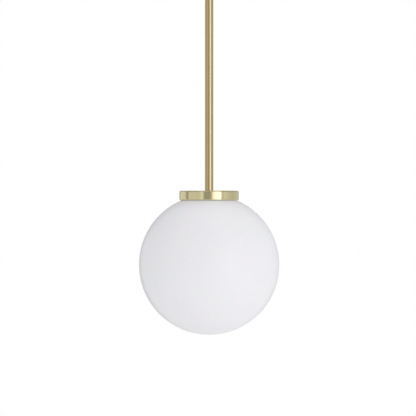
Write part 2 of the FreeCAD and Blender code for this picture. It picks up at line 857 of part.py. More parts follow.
def lamp_diffuser():
    """The frosted bowl over the light sources."""
    inner = LAMP_RADIUS - housing_wall
    inner_seam = math.sqrt(inner**2 - seam_rise**2)
    return lathe(
        [
            (0, bulb_z - LAMP_RADIUS),
            ((LAMP_RADIUS, bulb_z), (seam_radius, seam_z)),
            (inner_seam, seam_z),
            ((inner, bulb_z), (0, bulb_z - inner)),
        ]
    )


def lamp_led_board():
    """The round board with its ring of light-emitting packages, facing down."""
    board = cylinder(seam_radius - housing_wall - HOLE_GAP, board_z, board_z + board_thickness)
    packages = 12
    for k in range(packages):
        package = block(3.0, 3.0, board_z - 0.7, board_z, seam_radius * 0.62)
        board = board.fuse(turned(package, 360.0 / packages * k))
    return board.removeSplitter()


def lamp_driver():
    """The driver board standing on the round board, with its two largest components."""
    low = board_z + board_thickness
    card = block(1.2, 16.0, low, low + 30.0)
    capacitor = cylinder(3.6, low + 1.0, low + 13.0, 4.0)
    choke = block(6.0, 9.0, low + 4.0, low + 12.0, -3.6)
    return card.fuse(capacitor).fuse(choke).removeSplitter()


# ---- Build -----------------------------------------------------------------------------------------------------


def sub_parts():
    """Every sub-part by its name."""
    post_z = insulator_top + CORE_RADIUS + HOLE_GAP
    earth_z = earth_post_z + CORE_RADIUS + HOLE_GAP
    parts = {
        "ceiling_bracket": ceiling_bracket(),
        "canopy": canopy(),
        "canopy_screws": canopy_screws(),
        "terminal_block": terminal_block(),
        "terminal_inserts": terminal_inserts(),
        "terminal_screws": terminal_screws(),
        "terminal_fixings": terminal_fixings(),
        "earth_screw": earth_screw(),
        "earth_lug": earth_lug(),
        "earth_lead": earth_lead(),
        "canopy_core_live": canopy_core("live", pole_x[2]),
        "canopy_core_neutral": canopy_core("neutral", pole_x[1]),
        "canopy_core_earth": canopy_core("earth", pole_x[0]),
        "swivel_seat": swivel_seat(),
        "swivel_ball": swivel_ball(),
        "ball_grub_screw": ball_grub_screw(),
        "upper_nipple": nipple(stem_top - NIPPLE_GRIP, pivot_z),
        "stem_tube": stem_tube(),
        "lower_nipple": nipple(holder_top - boss_length - 0.5, cap_top + NIPPLE_GRIP),
        "swivel_flex": cylinder(FLEX_RADIUS, pivot_z, sheath_top),
        "stem_flex": cylinder(FLEX_RADIUS, flex_end_z, pivot_z),
        "cap": cap(),
        "neck_gasket": neck_gasket(),
        "spring_carrier": spring_carrier(),
        "spring_rivets": spring_rivets(),
        "lock_washer": lock_washer(),
        "lock_nut": lock_nut(),
        "holder_cap": holder_cap(),
        "holder_grub_screw": holder_grub_screw(),
        "holder_shell": holder_shell(),
        "holder_insulator": holder_insulator(),
        "holder_posts": holder_posts(),
        "holder_post_screws": holder_post_screws(),
        "holder_screw_shell": holder_screw_shell(),
        "holder_centre_contact": holder_centre_contact(),
        "holder_core_live": holder_core("live", live_post, post_radius, post_z),
        "holder_core_neutral": holder_core("neutral", neutral_post, post_radius, post_z),
        "holder_core_earth": holder_core("earth", earth_post, earth_post_radius, earth_z),
        "globe": globe(),
        "lamp_cap": lamp_cap(),
        "lamp_insulator": lamp_insulator(),
        "lamp_eyelet": lamp_eyelet(),
        "lamp_housing": lamp_housing(),
        "lamp_diffuser": lamp_diffuser(),
        "lamp_led_board": lamp_led_board(),
        "lamp_driver": lamp_driver(),
    }
    for number, angle in enumerate(arm_angles, 1):
        parts[f"spring_arm_{number}"] = spring_arm(angle)
    return parts


def main():
    os.makedirs("parts", exist_ok=True)
    for name, shape in sub_parts().items():
        shape.exportStep(f"parts/{name}.step")
        sound = shape.isValid() and all(s.isClosed() and s.Volume > 0 for s in shape.Solids)
        print(f"{name}: {len(shape.Solids)} solid(s), {shape.Volume:.1f} mm3{'' if sound else ', NOT SOUND'}")


main()
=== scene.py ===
"""Pendant ceiling light: the finished meshes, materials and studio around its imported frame.

Sizes are in metres, in the frame's own axes: the ceiling is at Z 0 and the light hangs below it.
"""

import contextlib
import math
import random

import bmesh
import bpy
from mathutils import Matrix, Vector


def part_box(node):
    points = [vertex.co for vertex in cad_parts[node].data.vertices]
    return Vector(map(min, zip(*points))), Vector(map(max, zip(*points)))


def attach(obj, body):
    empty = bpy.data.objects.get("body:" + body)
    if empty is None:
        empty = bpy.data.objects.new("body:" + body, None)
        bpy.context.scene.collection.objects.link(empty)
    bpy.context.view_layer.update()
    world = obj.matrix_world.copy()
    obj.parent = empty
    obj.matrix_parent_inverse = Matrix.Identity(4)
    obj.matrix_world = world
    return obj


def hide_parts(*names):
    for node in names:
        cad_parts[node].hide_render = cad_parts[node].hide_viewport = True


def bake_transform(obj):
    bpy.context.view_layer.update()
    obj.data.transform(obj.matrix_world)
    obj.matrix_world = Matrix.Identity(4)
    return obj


bl_info = {
    "name": "Globe pendant light",
    "version": (1, 0, 0),
    "blender": (4, 5, 0),
    "location": "View3D > Sidebar > Pendant",
    "description": "Builds an opal globe pendant on a brass stem, piece by piece, round its packed frame",
    "category": "Add Mesh",
}

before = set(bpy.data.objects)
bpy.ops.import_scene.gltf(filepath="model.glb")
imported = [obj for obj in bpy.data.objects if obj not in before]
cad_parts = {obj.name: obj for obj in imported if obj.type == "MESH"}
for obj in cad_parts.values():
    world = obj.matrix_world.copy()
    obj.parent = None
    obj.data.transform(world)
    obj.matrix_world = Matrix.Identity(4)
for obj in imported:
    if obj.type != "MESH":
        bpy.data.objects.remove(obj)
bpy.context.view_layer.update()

MM = 0.001
TAU = 2 * math.pi
TINY = 1e-6
NEVER_ZERO = 1e-9
FLAT = math.radians(1.0)
EDGE_ANGLE = math.radians(38)
DOWN = (0, 0, -1)

# ---- Places read from the frame ----


def round_node(node):
    """(radius, low z, high z) of a CAD node that is round about the stem's axis."""
    low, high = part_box(node)
    return (high.x - low.x) / 2, low.z, high.z


CANOPY_RADIUS, CANOPY_LOW, CANOPY_HIGH = round_node("canopy")
STEM_RADIUS, STEM_LOW, STEM_HIGH = round_node("stem_tube")
CAP_RADIUS, CAP_LOW, CAP_HIGH = round_node("cap")
GLOBE_RADIUS, GLOBE_LOW, GLOBE_HIGH = round_node("globe")
GLOBE_CENTRE = GLOBE_LOW + GLOBE_RADIUS
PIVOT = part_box("swivel_flex")[0].z
PIVOT_POINT = (0, 0, PIVOT)

# Stock sizes: the radius of an M10 tapped hole, of a plate's hole for it, the lamp's thread, the block's poles.
TAPPED = 5.05 * MM
PLATE_HOLE = 5.2 * MM
LAMP_PITCH = 3.62 * MM
POLE_PITCH = 8.0 * MM


# ---- Sizes and colours that a user may change ----


def length(name, description, default):
    return bpy.props.FloatProperty(
        name=name, description=description, default=default, min=0.0, unit="LENGTH", subtype="DISTANCE"
    )


def colour(name, description, default):
    return bpy.props.FloatVectorProperty(
        name=name, description=description, default=default, size=3, min=0.0, max=1.0, subtype="COLOR"
    )


class PendantSizes(bpy.types.PropertyGroup):
    """Sizes of the finished pieces that the frame doesn't give."""

    glass_wall: length("Glass wall", "Thickness of the globe's glass", 3.0 * MM)
    neck_radius: length("Neck radius", "Outer radius of the globe's neck", 38.4 * MM)
    shoulder_radius: length("Shoulder radius", "Radius where the globe rises into its neck", 6.0 * MM)
    cap_wall: length("Cap wall", "Thickness of the cap's side", 1.8 * MM)
    cap_plate: length("Cap plate", "Thickness of the cap's top", 2.0 * MM)
    cap_edge: length("Cap edge", "Radius of the cap's upper edge", 1.8 * MM)
    cap_lower_edge: length("Cap lower edge", "Radius of the cap's lower edge", 0.7 * MM)
    canopy_wall: length("Canopy wall", "Thickness of the canopy's sheet", 1.5 * MM)
    canopy_edge: length("Canopy edge", "Radius of the canopy's lower edge", 4.0 * MM)
    stem_wall: length("Stem wall", "Thickness of the stem's tube", 1.5 * MM)
    core_radius: length("Core radius", "Radius of an insulated core", 1.05 * MM)
    floor_drop: length("Floor drop", "Distance from the ceiling to the floor", 3.4)


class PendantColours(bpy.types.PropertyGroup):
    """Colours of the finishes."""

    spun_brass: colour("Spun brass", "Lacquered brass of the cap and the canopy", (0.83, 0.745, 0.44))
    drawn_brass: colour("Drawn brass", "Lacquered brass of the stem", (0.60, 0.49, 0.25))
    raw_brass: colour("Turned brass", "Bare brass of the fittings", (0.83, 0.64, 0.32))
    opal: colour("Opal glass", "White of the globe", (0.904, 0.893, 0.928))
    zinc: colour("Zinc plate", "Plated steel", (0.60, 0.61, 0.63))
    stainless: colour("Stainless", "Sprung arms and washer", (0.56, 0.56, 0.57))
    moulding: colour("Moulding", "Terminal block and swivel seat", (0.80, 0.79, 0.74))
    sheath: colour("Sheath", "Flex sheath", (0.80, 0.80, 0.78))
    porcelain: colour("Porcelain", "Ceramic core of the lampholder", (0.86, 0.84, 0.80))


# ---- Node trees written as expressions ----


def arithmetic(operation, reflected=False):
    """A method that stands for a Python operator by adding its Math node."""

    def apply(self, other):
        return self.math(operation, *((other, self) if reflected else (self, other)))

    return apply


class Value:
    """An output socket that takes part in arithmetic."""

    def __init__(self, nodes, socket):
        self.nodes = nodes
        self.socket = socket

    def math(self, operation, *operands):
        return self.nodes.add("ShaderNodeMath", {"operation": operation}, dict(enumerate(operands)))

    __add__, __radd__ = arithmetic("ADD"), arithmetic("ADD", True)
    __sub__, __rsub__ = arithmetic("SUBTRACT"), arithmetic("SUBTRACT", True)
    __mul__, __rmul__ = arithmetic("MULTIPLY"), arithmetic("MULTIPLY", True)
    __truediv__, __pow__ = arithmetic("DIVIDE"), arithmetic("POWER")
    __gt__, __lt__ = arithmetic("GREATER_THAN"), arithmetic("LESS_THAN")

    def sine(self):
        return self.math("SINE", self)

    def magnitude(self):
        return self.math("ABSOLUTE", self)

    def output(self, name):
        """Another output of the same node."""
        return Value(self.nodes, found(self.socket.node.outputs, name))


def found(sockets, key):
    """A socket by its index, its identifier or its name."""
    if isinstance(key, int):
        return sockets[key]
    for socket in sockets:
        if socket.identifier == key:
            return socket
    return next(s for s in sockets if s.name == key and s.enabled)


class Nodes:
    """Adds nodes to one shader, world or geometry tree."""

    def __init__(self, tree):
        self.tree = tree

    def add(self, kind, settings=None, sockets=None, output=0):
        """A new node: its settings first, then the values or links of its sockets."""
        node = self.tree.nodes.new(kind)
        for name, value in (settings or {}).items():
            if name == "stops":
                set_stops(node.color_ramp, value)
            elif name == "captured":
                node.capture_items.new(value, "Value")
            else:
                setattr(node, name, value)
        for key, value in (sockets or {}).items():
            socket = found(node.inputs, key)
            if isinstance(value, Value):
                self.tree.links.new(value.socket, socket)
            else:
                socket.default_value = value
        return Value(self, found(node.outputs, output)) if node.outputs else None

    def vector(self, x, y, z):
        return self.add("ShaderNodeCombineXYZ", None, {"X": x, "Y": y, "Z": z})

    def split(self, vector):
        """The x, y and z of a vector."""
        x = self.add("ShaderNodeSeparateXYZ", None, {0: vector})
        return x, x.output("Y"), x.output("Z")

    def noise(self, vector, scale, detail=2.0, roughness=0.5, distortion=0.0):
        names = ("Vector", "Scale", "Detail", "Roughness", "Distortion")
        sockets = dict(zip(names, (vector, scale, detail, roughness, distortion)))
        return self.add("ShaderNodeTexNoise", None, sockets)

    def remap(self, value, low, high, new_low, new_high):
        """The value moved from one range to another and kept inside it."""
        names = ("Value", "From Min", "From Max", "To Min", "To Max")
        sockets = dict(zip(names, (value, low, high, new_low, new_high)))
        return self.add("ShaderNodeMapRange", None, sockets)

    def ramp(self, value, stops):
        """A brightness that runs through these (position, brightness) stops."""
        return self.add("ShaderNodeValToRGB", {"stops": stops}, {"Fac": value})

    def mix(self, factor, first, second):
        """A colour between two."""
        sockets = {"Factor_Float": factor, "A_Color": rgba(first), "B_Color": rgba(second)}
        return self.add("ShaderNodeMix", {"data_type": "RGBA"}, sockets, "Result_Color")

    def between(self, factor, first, second):
        """A number between two."""
        sockets = {"Factor_Float": factor, "A_Float": first, "B_Float": second}
        return self.add("ShaderNodeMix", {"data_type": "FLOAT"}, sockets, "Result_Float")


def rgba(value):
    """A colour with its alpha, or a link left as it is."""
    return value if isinstance(value, Value) else (*value[:3], 1.0)


def set_stops(ramp, stops):
    while len(ramp.elements) < len(stops):
        ramp.elements.new(1.0)
    for element, (position, value) in zip(ramp.elements, stops):
        element.position = position
        element.color = (value, value, value, 1.0)


def shade(tint, factor):
    """A colour made lighter or darker by a factor."""
    return tuple(min(channel * factor, 1.0) for channel in tint[:3])


def shades(tint, *factors):
    """The colour at each of these factors."""
    return [shade(tint, factor) for factor in factors]


# ---- Finishes ----


class Finish(Nodes):
    """One material. Its pattern reads the piece's own coordinates, in metres."""

    def __init__(self, name):
        self.material = bpy.data.materials.new(name)
        self.material.use_nodes = True
        super().__init__(self.material.node_tree)
        self.shader = self.tree.nodes["Principled BSDF"]
        self.place = self.add("ShaderNodeTexCoord", None, None, "Object")
        self.x, self.y, self.z = self.split(self.place)

    def radius(self):
        """Distance from the stem's axis."""
        return (self.x * self.x + self.y * self.y) ** 0.5

    def bearing(self):
        """Angle about the stem's axis, from -0.5 to 0.5 of a turn."""
        return self.y.math("ARCTAN2", self.y, self.x) / TAU

    def relief(self, height, depth, strength=1.0):
        """A bump from a height between 0 and 1, for a depth in metres."""
        return self.add("ShaderNodeBump", None, {"Height": height, "Distance": depth, "Strength": strength})

    def done(self, **sockets):
        """Sets the shader's sockets, named with _ for a space, and gives the material."""
        for name, value in sockets.items():
            socket = found(self.shader.inputs, name.replace("_", " "))
            if isinstance(value, Value):
                self.tree.links.new(value.socket, socket)
            elif socket.type == "RGBA":
                socket.default_value = rgba(value)
            else:
                socket.default_value = value
        return self.material


def worn_brass(name, tint, gloss, lines):
    """Lacquered brass: fine tool lines given as a noise value, faint clouding and a few dull touches."""
    m = Finish(name)
    fine = lines(m)
    cloud = m.noise(m.place, 55.0, 3.0, 0.6)
    touch = m.remap(m.noise(m.place, 140.0, 2.0), 0.56, 0.72, 0.0, 1.0)
    base = m.mix(cloud, shade(tint, 0.94), shade(tint, 1.05))
    base = m.mix(m.remap(fine, 0.3, 0.7, 0.0, 0.35), base, shade(tint, 0.90))
    rough = m.remap(cloud, 0.3, 0.7, gloss, gloss + 0.05) + touch * 0.03 + fine * 0.03
    bump = m.relief(fine, 0.012 * MM, 0.5)
    return m.done(Base_Color=base, Metallic=1.0, Roughness=rough, Normal=bump, Coat_Weight=0.12, Coat_Roughness=0.06)


def drawn_lines(m):
    """Lines along a tube's length."""
    return m.noise(m.vector(m.x, m.y, m.z * 0.012), 2600.0, 3.0, 0.65)


def lathe_rings(m):
    """Fine rings about the stem's axis."""
    across = m.vector(m.radius(), m.z, m.bearing().magnitude() * 0.0015)
    return m.noise(across, 3200.0, 3.0, 0.7)


def raw_brass(tint):
    """Bare turned brass with coarser rings and some darkening."""
    m = Finish("raw_brass")
    rings = m.noise(m.vector(m.radius(), m.z, 0.0), 1500.0, 2.0, 0.6)
    stain = m.remap(m.noise(m.place, 120.0, 4.0, 0.65), 0.42, 0.70, 0.0, 0.8)
    base = m.mix(stain, tint, (tint[0] * 0.78, tint[1] * 0.66, tint[2] * 0.52))
    rough = 0.20 + stain * 0.16 + rings * 0.06
    bump = m.relief(rings, 0.03 * MM, 0.6)
    return m.done(Base_Color=base, Metallic=1.0, Roughness=rough, Normal=bump)


def sheet_brass(tint):
    """Bright pressed strip for the contacts."""
    m = Finish("sheet_brass")
    grain = m.noise(m.vector(m.x * 0.2, m.y, m.z), 1800.0, 2.0)
    base = m.mix(m.noise(m.place, 200.0, 3.0), shade(tint, 0.92), shade(tint, 1.08))
    rough = 0.16 + grain * 0.1
    return m.done(Base_Color=base, Metallic=1.0, Roughness=rough, Normal=m.relief(grain, 0.01 * MM, 0.5))


def zinc_plate(tint):
    """Plated steel: a soft spangle, with a slight blue and straw cast."""
    m = Finish("zinc_plate")
    spangle = m.add("ShaderNodeTexVoronoi", None, {"Vector": m.place, "Scale": 420.0}, "Color")
    spangle = m.split(spangle)[0]
    cast = m.noise(m.place, 60.0, 3.0, 0.6)
    cool = (tint[0] * 0.94, tint[1] * 0.98, tint[2] * 1.06)
    warm = (tint[0] * 1.06, tint[1] * 1.0, tint[2] * 0.86)
    base = m.mix(m.remap(cast, 0.35, 0.65, 0.0, 1.0), cool, warm)
    base = m.mix(spangle * 0.25, base, shade(tint, 1.25))
    rough = 0.26 + spangle * 0.10 + cast * 0.08
    bump = m.relief(m.noise(m.place, 900.0, 3.0), 0.02 * MM, 0.5)
    return m.done(Base_Color=base, Metallic=1.0, Roughness=rough, Normal=bump)


def grained(name, tones, scale, rough, detail=3.0, roughness=0.5, stretch=None, bump=None, **constants):
    """A finish with one grain, which moves its colour between two tones, its roughness from rough[0] up by rough[1],
    and its surface by the depth in bump[0], in millimetres. stretch draws the grain out along the axes."""
    m = Finish(name)
    place = m.vector(*(axis * share for axis, share in zip((m.x, m.y, m.z), stretch))) if stretch else m.place
    grain = m.noise(place, scale, detail, roughness)
    if bump:
        constants["Normal"] = m.relief(grain, bump[0] * MM, bump[1])
    return m.done(Base_Color=m.mix(grain, *tones), Roughness=rough[0] + grain * rough[1], **constants)


def black_steel():
    """Oil-blackened set screws."""
    m = Finish("black_steel")
    wear = m.remap(m.noise(m.place, 700.0, 3.0), 0.5, 0.75, 0.0, 0.5)
    base = m.mix(wear, (0.035, 0.035, 0.04), (0.22, 0.21, 0.20))
    return m.done(Base_Color=base, Metallic=1.0, Roughness=0.34 + wear * 0.2)


def tinned_copper():
    """The crimped earth tag."""
    m = Finish("tinned_copper")
    worn = m.remap(m.noise(m.place, 500.0, 3.0), 0.55, 0.8, 0.0, 0.7)
    base = m.mix(worn, (0.66, 0.66, 0.65), (0.70, 0.38, 0.24))
    bump = m.relief(m.noise(m.place, 1400.0, 2.0), 0.02 * MM, 0.5)
    return m.done(Base_Color=base, Metallic=1.0, Roughness=0.24 + worn * 0.2, Normal=bump)


def moulded(name, tint, gloss, sheen=0.0):
    """Moulded or machined plastic with a fine skin texture and slight yellowing."""
    m = Finish(name)
    skin = m.noise(m.place, 1600.0, 3.0, 0.6)
    age = m.noise(m.place, 45.0, 3.0)
    base = m.mix(age, shade(tint, 1.03), (tint[0] * 0.97, tint[1] * 0.94, tint[2] * 0.87))
    rough = gloss + skin * 0.12
    bump = m.relief(skin, 0.02 * MM, 0.5)
    return m.done(
        Base_Color=base, Roughness=rough, Normal=bump, Subsurface_Weight=0.12, Subsurface_Scale=1.0 * MM,
        Coat_Weight=sheen, Coat_Roughness=0.2,
    )


def striped_sheath():
    """Green insulation with two yellow stripes along it. The wire carries the stripe's place round it."""
    m = Finish("striped_sheath")
    around = m.add("ShaderNodeAttribute", {"attribute_name": "around"}, None, "Fac")
    stripe = m.remap((around * 2 * TAU).sine(), -0.12, 0.12, 0.0, 1.0)
    marks = m.noise(m.place, 500.0, 3.0, 0.6)
    base = m.mix(stripe, (0.05, 0.30, 0.07), (0.86, 0.72, 0.05))
    base = m.mix(marks * 0.2, base, (0.12, 0.14, 0.05))
    return m.done(Base_Color=base, Roughness=0.34 + marks * 0.16, Normal=m.relief(marks, 0.03 * MM, 0.5))


def glazed(name, tint):
    """Glazed ceramic: pooled gloss, pin holes and a slight waviness."""
    m = Finish(name)
    pool = m.noise(m.place, 90.0, 2.0)
    pins = m.remap(m.noise(m.place, 1100.0, 2.0), 0.68, 0.76, 0.0, 1.0)
    base = m.mix(pins * 0.4, m.mix(pool, shade(tint, 0.96), shade(tint, 1.04)), (0.42, 0.38, 0.32))
    rough = 0.10 + pool * 0.08 + pins * 0.3
    bump = m.relief(pool - pins * 0.3, 0.15 * MM, 0.4)
    return m.done(Base_Color=base, Roughness=rough, Normal=bump, Subsurface_Weight=0.08, Subsurface_Scale=1.0 * MM)


def opal_glass(tint):
    """White flashed glass: clear gloss over milky white, a hint of flow lines and a few fine seeds."""
    m = Finish("opal_glass")
    flow = m.noise(m.vector(m.x, m.y, m.z * 0.45), 16.0, 2.0, 0.4, 0.6)
    seeds = m.add("ShaderNodeTexVoronoi", None, {"Vector": m.place, "Scale": 190.0}, "Distance")
    rare = m.remap(m.noise(m.place, 60.0, 1.0), 0.62, 0.66, 0.0, 1.0)
    seed = m.remap(seeds, 0.05, 0.09, 1.0, 0.0) * rare
    base = m.mix(flow, shade(tint, 0.992), shade(tint, 1.008))
    base = m.mix(seed * 0.10, base, shade(tint, 0.80))
    rough = 0.30 + flow * 0.04 + seed * 0.05
    bump = m.relief(flow + seed * 0.02, 0.12 * MM, 0.35)
    return m.done(Base_Color=base, Roughness=rough, Normal=bump, Subsurface_Weight=0.15, Subsurface_Scale=4.0 * MM)


def nickel_plate():
    """The lamp's plated shell, slightly scuffed."""
    m = Finish("nickel_plate")
    scuff = m.noise(m.vector(m.x * 0.3, m.y * 0.3, m.z), 1500.0, 3.0, 0.65)
    base = m.mix(scuff, (0.66, 0.64, 0.60), (0.76, 0.74, 0.70))
    rough = 0.14 + m.remap(scuff, 0.45, 0.7, 0.0, 0.2)
    return m.done(Base_Color=base, Metallic=1.0, Roughness=rough, Normal=m.relief(scuff, 0.015 * MM, 0.5))


def circuit_board(name, tint):
    """Solder mask over copper tracks, which run in straight steps under it."""
    m = Finish(name)
    track = m.add("ShaderNodeTexBrick", None, {"Vector": m.place, "Scale": 160.0, "Mortar Size": 0.035}, "Fac")
    speck = m.noise(m.place, 900.0, 2.0)
    base = m.mix(track * 0.5, tint, shade(tint, 0.72))
    base = m.mix(speck * 0.15, base, shade(tint, 1.15))
    bump = m.relief(track, 0.04 * MM, 0.5)
    return m.done(Base_Color=base, Roughness=0.26 + speck * 0.14, Normal=bump)


def sheath(name, tint):
    """Smooth extruded insulation, with faint handling marks."""
    return grained(name, shades(tint, 0.90, 1.10), 500.0, (0.34, 0.16), 3.0, 0.6, (1, 1, 0.4), (0.03, 0.5))


# The finishes made so far, by their names.
FINISHES = {}


def finish(name):
    """The material of this name, made the first time that it is asked for."""
    if name in FINISHES:
        return FINISHES[name]
    tints = bpy.context.scene.pendant_colours
    makers = {
        "drawn_brass": lambda: worn_brass(name, tints.drawn_brass, 0.12, drawn_lines),
        "spun_brass": lambda: worn_brass(name, tints.spun_brass, 0.10, lathe_rings),
        "raw_brass": lambda: raw_brass(tints.raw_brass),
        "sheet_brass": lambda: sheet_brass(tints.raw_brass),
        "zinc_plate": lambda: zinc_plate(tints.zinc),
        "spring_steel": lambda: grained(
            name, shades(tints.stainless, 0.85, 1.12), 1700.0, (0.20, 0.14), stretch=(1, 1, 0.06), bump=(0.012, 0.6),
            Metallic=1.0,
        ),
        "black_steel": black_steel,
        "tinned_copper": tinned_copper,
        "block_plastic": lambda: moulded(name, tints.moulding, 0.38),
        "nylon": lambda: moulded(name, tints.moulding, 0.32, 0.1),
        "lamp_plastic": lambda: moulded(name, (0.86, 0.86, 0.86), 0.22, 0.3),
        "white_sheath": lambda: sheath(name, tints.sheath),
        "brown_sheath": lambda: sheath(name, (0.16, 0.06, 0.025)),
        "blue_sheath": lambda: sheath(name, (0.02, 0.11, 0.42)),
        "striped_sheath": striped_sheath,
        "silicone": lambda: grained(
            name, shades((0.84, 0.84, 0.83), 0.96, 1.05), 260.0, (0.42, 0.16), Subsurface_Weight=0.3,
            Subsurface_Scale=2.0 * MM,
        ),
        "porcelain": lambda: glazed(name, tints.porcelain),
        "opal_glass": lambda: opal_glass(tints.opal),
        "nickel_plate": nickel_plate,
        "black_glass": lambda: grained(
            name, ((0.012, 0.012, 0.014), (0.035, 0.033, 0.035)), 300.0, (0.08, 0.10), 2.0, bump=(0.1, 0.5)
        ),
        "frosted_bowl": lambda: grained(
            name, shades((0.90, 0.90, 0.91), 0.97, 1.03), 2600.0, (0.40, 0.20), 2.0, 0.7, bump=(0.03, 0.6),
            Subsurface_Weight=0.4, Subsurface_Scale=2.5 * MM,
        ),
        "white_board": lambda: circuit_board(name, (0.80, 0.80, 0.78)),
        "green_board": lambda: circuit_board(name, (0.05, 0.17, 0.08)),
        "phosphor": lambda: grained(name, ((0.80, 0.62, 0.08), (0.90, 0.74, 0.16)), 1200.0, (0.18, 0.10), 2.0),
    }
    FINISHES[name] = makers[name]()
    return FINISHES[name]


# ---- Outlines ----

# The longest step along an arc, and along a corner's rounded edge.
ARC_STEP = math.radians(7.5)
CORNER_STEP = math.radians(18)


def arc(centre, radius, start, end, step=ARC_STEP):
    """Points on an arc in the (r, z) plane, between two angles in radians."""
    count = max(2, math.ceil(abs(end - start) / step))
    angles = [start + (end - start) * k / count for k in range(count + 1)]
    return [(centre[0] + radius * math.cos(a), centre[1] + radius * math.sin(a)) for a in angles]


def arc_through(first, middle, last, step=ARC_STEP):
    """Points on the arc from first to last that passes through middle."""
    a, b, c = Vector(first), Vector(middle), Vector(last)
    ab, ac = b - a, c - a
    doubled = 2 * (ab.x * ac.y - ab.y * ac.x)
    across = Vector((ac.y * ab.length_squared - ab.y * ac.length_squared,
                     ab.x * ac.length_squared - ac.x * ab.length_squared)) / doubled
    centre, radius = a + across, across.length
    start, via, end = (math.atan2(p.y - centre.y, p.x - centre.x) for p in (a, b, c))
    onward = (via - start) % TAU <= (end - start) % TAU
    end = start + ((end - start) % TAU if onward else -((start - end) % TAU))
    return arc(centre, radius, start, end, step)


def outline(*corners):
    """A polygon in the (r, z) plane from corners (r, z) or (r, z, edge radius), with points held near its edges."""
    points = []
    count = len(corners)
    for k, corner in enumerate(corners):
        here = Vector(corner[:2])
        before = Vector(corners[k - 1][:2]) - here
        after = Vector(corners[(k + 1) % count][:2]) - here
        edge = corner[2] if len(corner) > 2 else 0.0
        if not edge or before.length < TINY or after.length < TINY:
            points.append(tuple(here))
            continue
        half = before.angle(after) / 2
        reach = min(edge / math.tan(half), 0.45 * before.length, 0.45 * after.length)
        radius = reach * math.tan(half)
        before.normalize()
        after.normalize()
        centre = here + (before + after).normalized() * (radius / math.sin(half))
        first, last = here + before * reach - centre, here + after * reach - centre
        start = math.atan2(first.y, first.x)
        turn = math.atan2(first.x * last.y - first.y * last.x, first.dot(last))
        held = 0.35 * radius
        points.append(tuple(here + before * (reach + held)))
        points += arc(centre, radius, start, start + turn, CORNER_STEP)
        points.append(tuple(here + after * (reach + held)))
    return points


def ring(inside, outside, low, high, edge=0.0, inner_edge=0.0):
    """A flat ring's outline, or a disc's when it starts on the axis."""
    return outline((inside, low, inner_edge), (outside, low, edge), (outside, high, edge), (inside, high, inner_edge))


def rows_between(low, high, spacing):
    """Heights from low to high, about this far apart."""
    count = max(1, round(abs(high - low) / spacing))
    return [low + (high - low) * k / count for k in range(count + 1)]


# ---- Meshes made by Geometry Nodes ----


class Maker(Nodes):
    """A Geometry Nodes tree with named inputs."""

    def __init__(self, name, **inputs):
        tree = bpy.data.node_groups.new(name, "GeometryNodeTree")
        super().__init__(tree)
        tree.interface.new_socket(name="Geometry", in_out="OUTPUT", socket_type="NodeSocketGeometry")
        tree.interface.new_socket(name="Geometry", in_out="INPUT", socket_type="NodeSocketGeometry")
        for label, (kind, value) in inputs.items():
            label = label.replace("_", " ")
            socket = tree.interface.new_socket(name=label, in_out="INPUT", socket_type=kind)
            if value is not None:
                socket.default_value = value
        self.given = self.add("NodeGroupInput")

    def size(self, name):
        return self.given.output(name)

    def finish(self, geometry):
        """Makes instances real, sets the material and ends the tree."""
        real = self.add("GeometryNodeRealizeInstances", None, {"Geometry": geometry})
        dressed = self.add("GeometryNodeSetMaterial", None, {"Geometry": real, "Material": self.size("Material")})
        self.add("NodeGroupOutput", None, {"Geometry": dressed})
        return self.tree


FLOAT, WHOLE, MATERIAL, OBJECT = "NodeSocketFloat", "NodeSocketInt", "NodeSocketMaterial", "NodeSocketObject"


def sharpened(m, mesh, angle):
    """The mesh shaded smooth, but for edges that turn by more than the angle."""
    smooth = m.add("GeometryNodeSetShadeSmooth", None, {"Geometry": mesh, "Shade Smooth": True})
    turn = m.add("GeometryNodeInputMeshEdgeAngle")
    sockets = {"Geometry": smooth, "Selection": turn > angle, "Shade Smooth": False}
    return m.add("GeometryNodeSetShadeSmooth", {"domain": "EDGE"}, sockets)


def turned_tree():
    """Turns an outline about Z, then presses a rounded screw thread into a stretch of it."""
    m = Maker(
        "Turned piece",
        Segments=(WHOLE, 96),
        Offset=(FLOAT, 0.2),
        Thread_Depth=(FLOAT, 0.0),
        Thread_Pitch=(FLOAT, 1.0 * MM),
        Thread_Low=(FLOAT, 0.0),
        Thread_High=(FLOAT, 0.0),
        Thread_Inner=(FLOAT, 0.0),
        Thread_Outer=(FLOAT, 1.0),
        Material=(MATERIAL, None),
    )
    offset = m.size("Offset")
    profile = m.add("GeometryNodeMeshToCurve", None, {"Mesh": m.size("Geometry")})
    shift = m.vector(0.0 - offset, 0.0, 0.0)
    profile = m.add("GeometryNodeSetPosition", None, {"Geometry": profile, "Offset": shift})
    ring = m.add("GeometryNodeCurvePrimitiveCircle", None, {"Resolution": m.size("Segments"), "Radius": offset})
    turned = m.add("GeometryNodeCurveToMesh", None, {"Curve": ring, "Profile Curve": profile})
    turned = m.add("GeometryNodeMergeByDistance", None, {"Geometry": turned, "Distance": TINY})
    x, y, z = m.split(m.add("GeometryNodeInputPosition"))
    radius = (x * x + y * y) ** 0.5
    angle = x.math("ARCTAN2", y, x)
    wave = 0.5 + 0.5 * ((z / m.size("Thread Pitch") * TAU) - angle).sine()
    low = m.remap(z - m.size("Thread Low"), 0.0, 0.35 * m.size("Thread Pitch"), 0.0, 1.0)
    high = m.remap(m.size("Thread High") - z, 0.0, 0.35 * m.size("Thread Pitch"), 0.0, 1.0)
    within = (radius > m.size("Thread Inner")) * (radius < m.size("Thread Outer"))
    press = wave * low * high * within * m.size("Thread Depth") / (radius + NEVER_ZERO)
    shift = m.vector(x * press, y * press, 0.0)
    turned = m.add("GeometryNodeSetPosition", None, {"Geometry": turned, "Offset": shift})
    return m.finish(sharpened(m, turned, math.radians(32)))


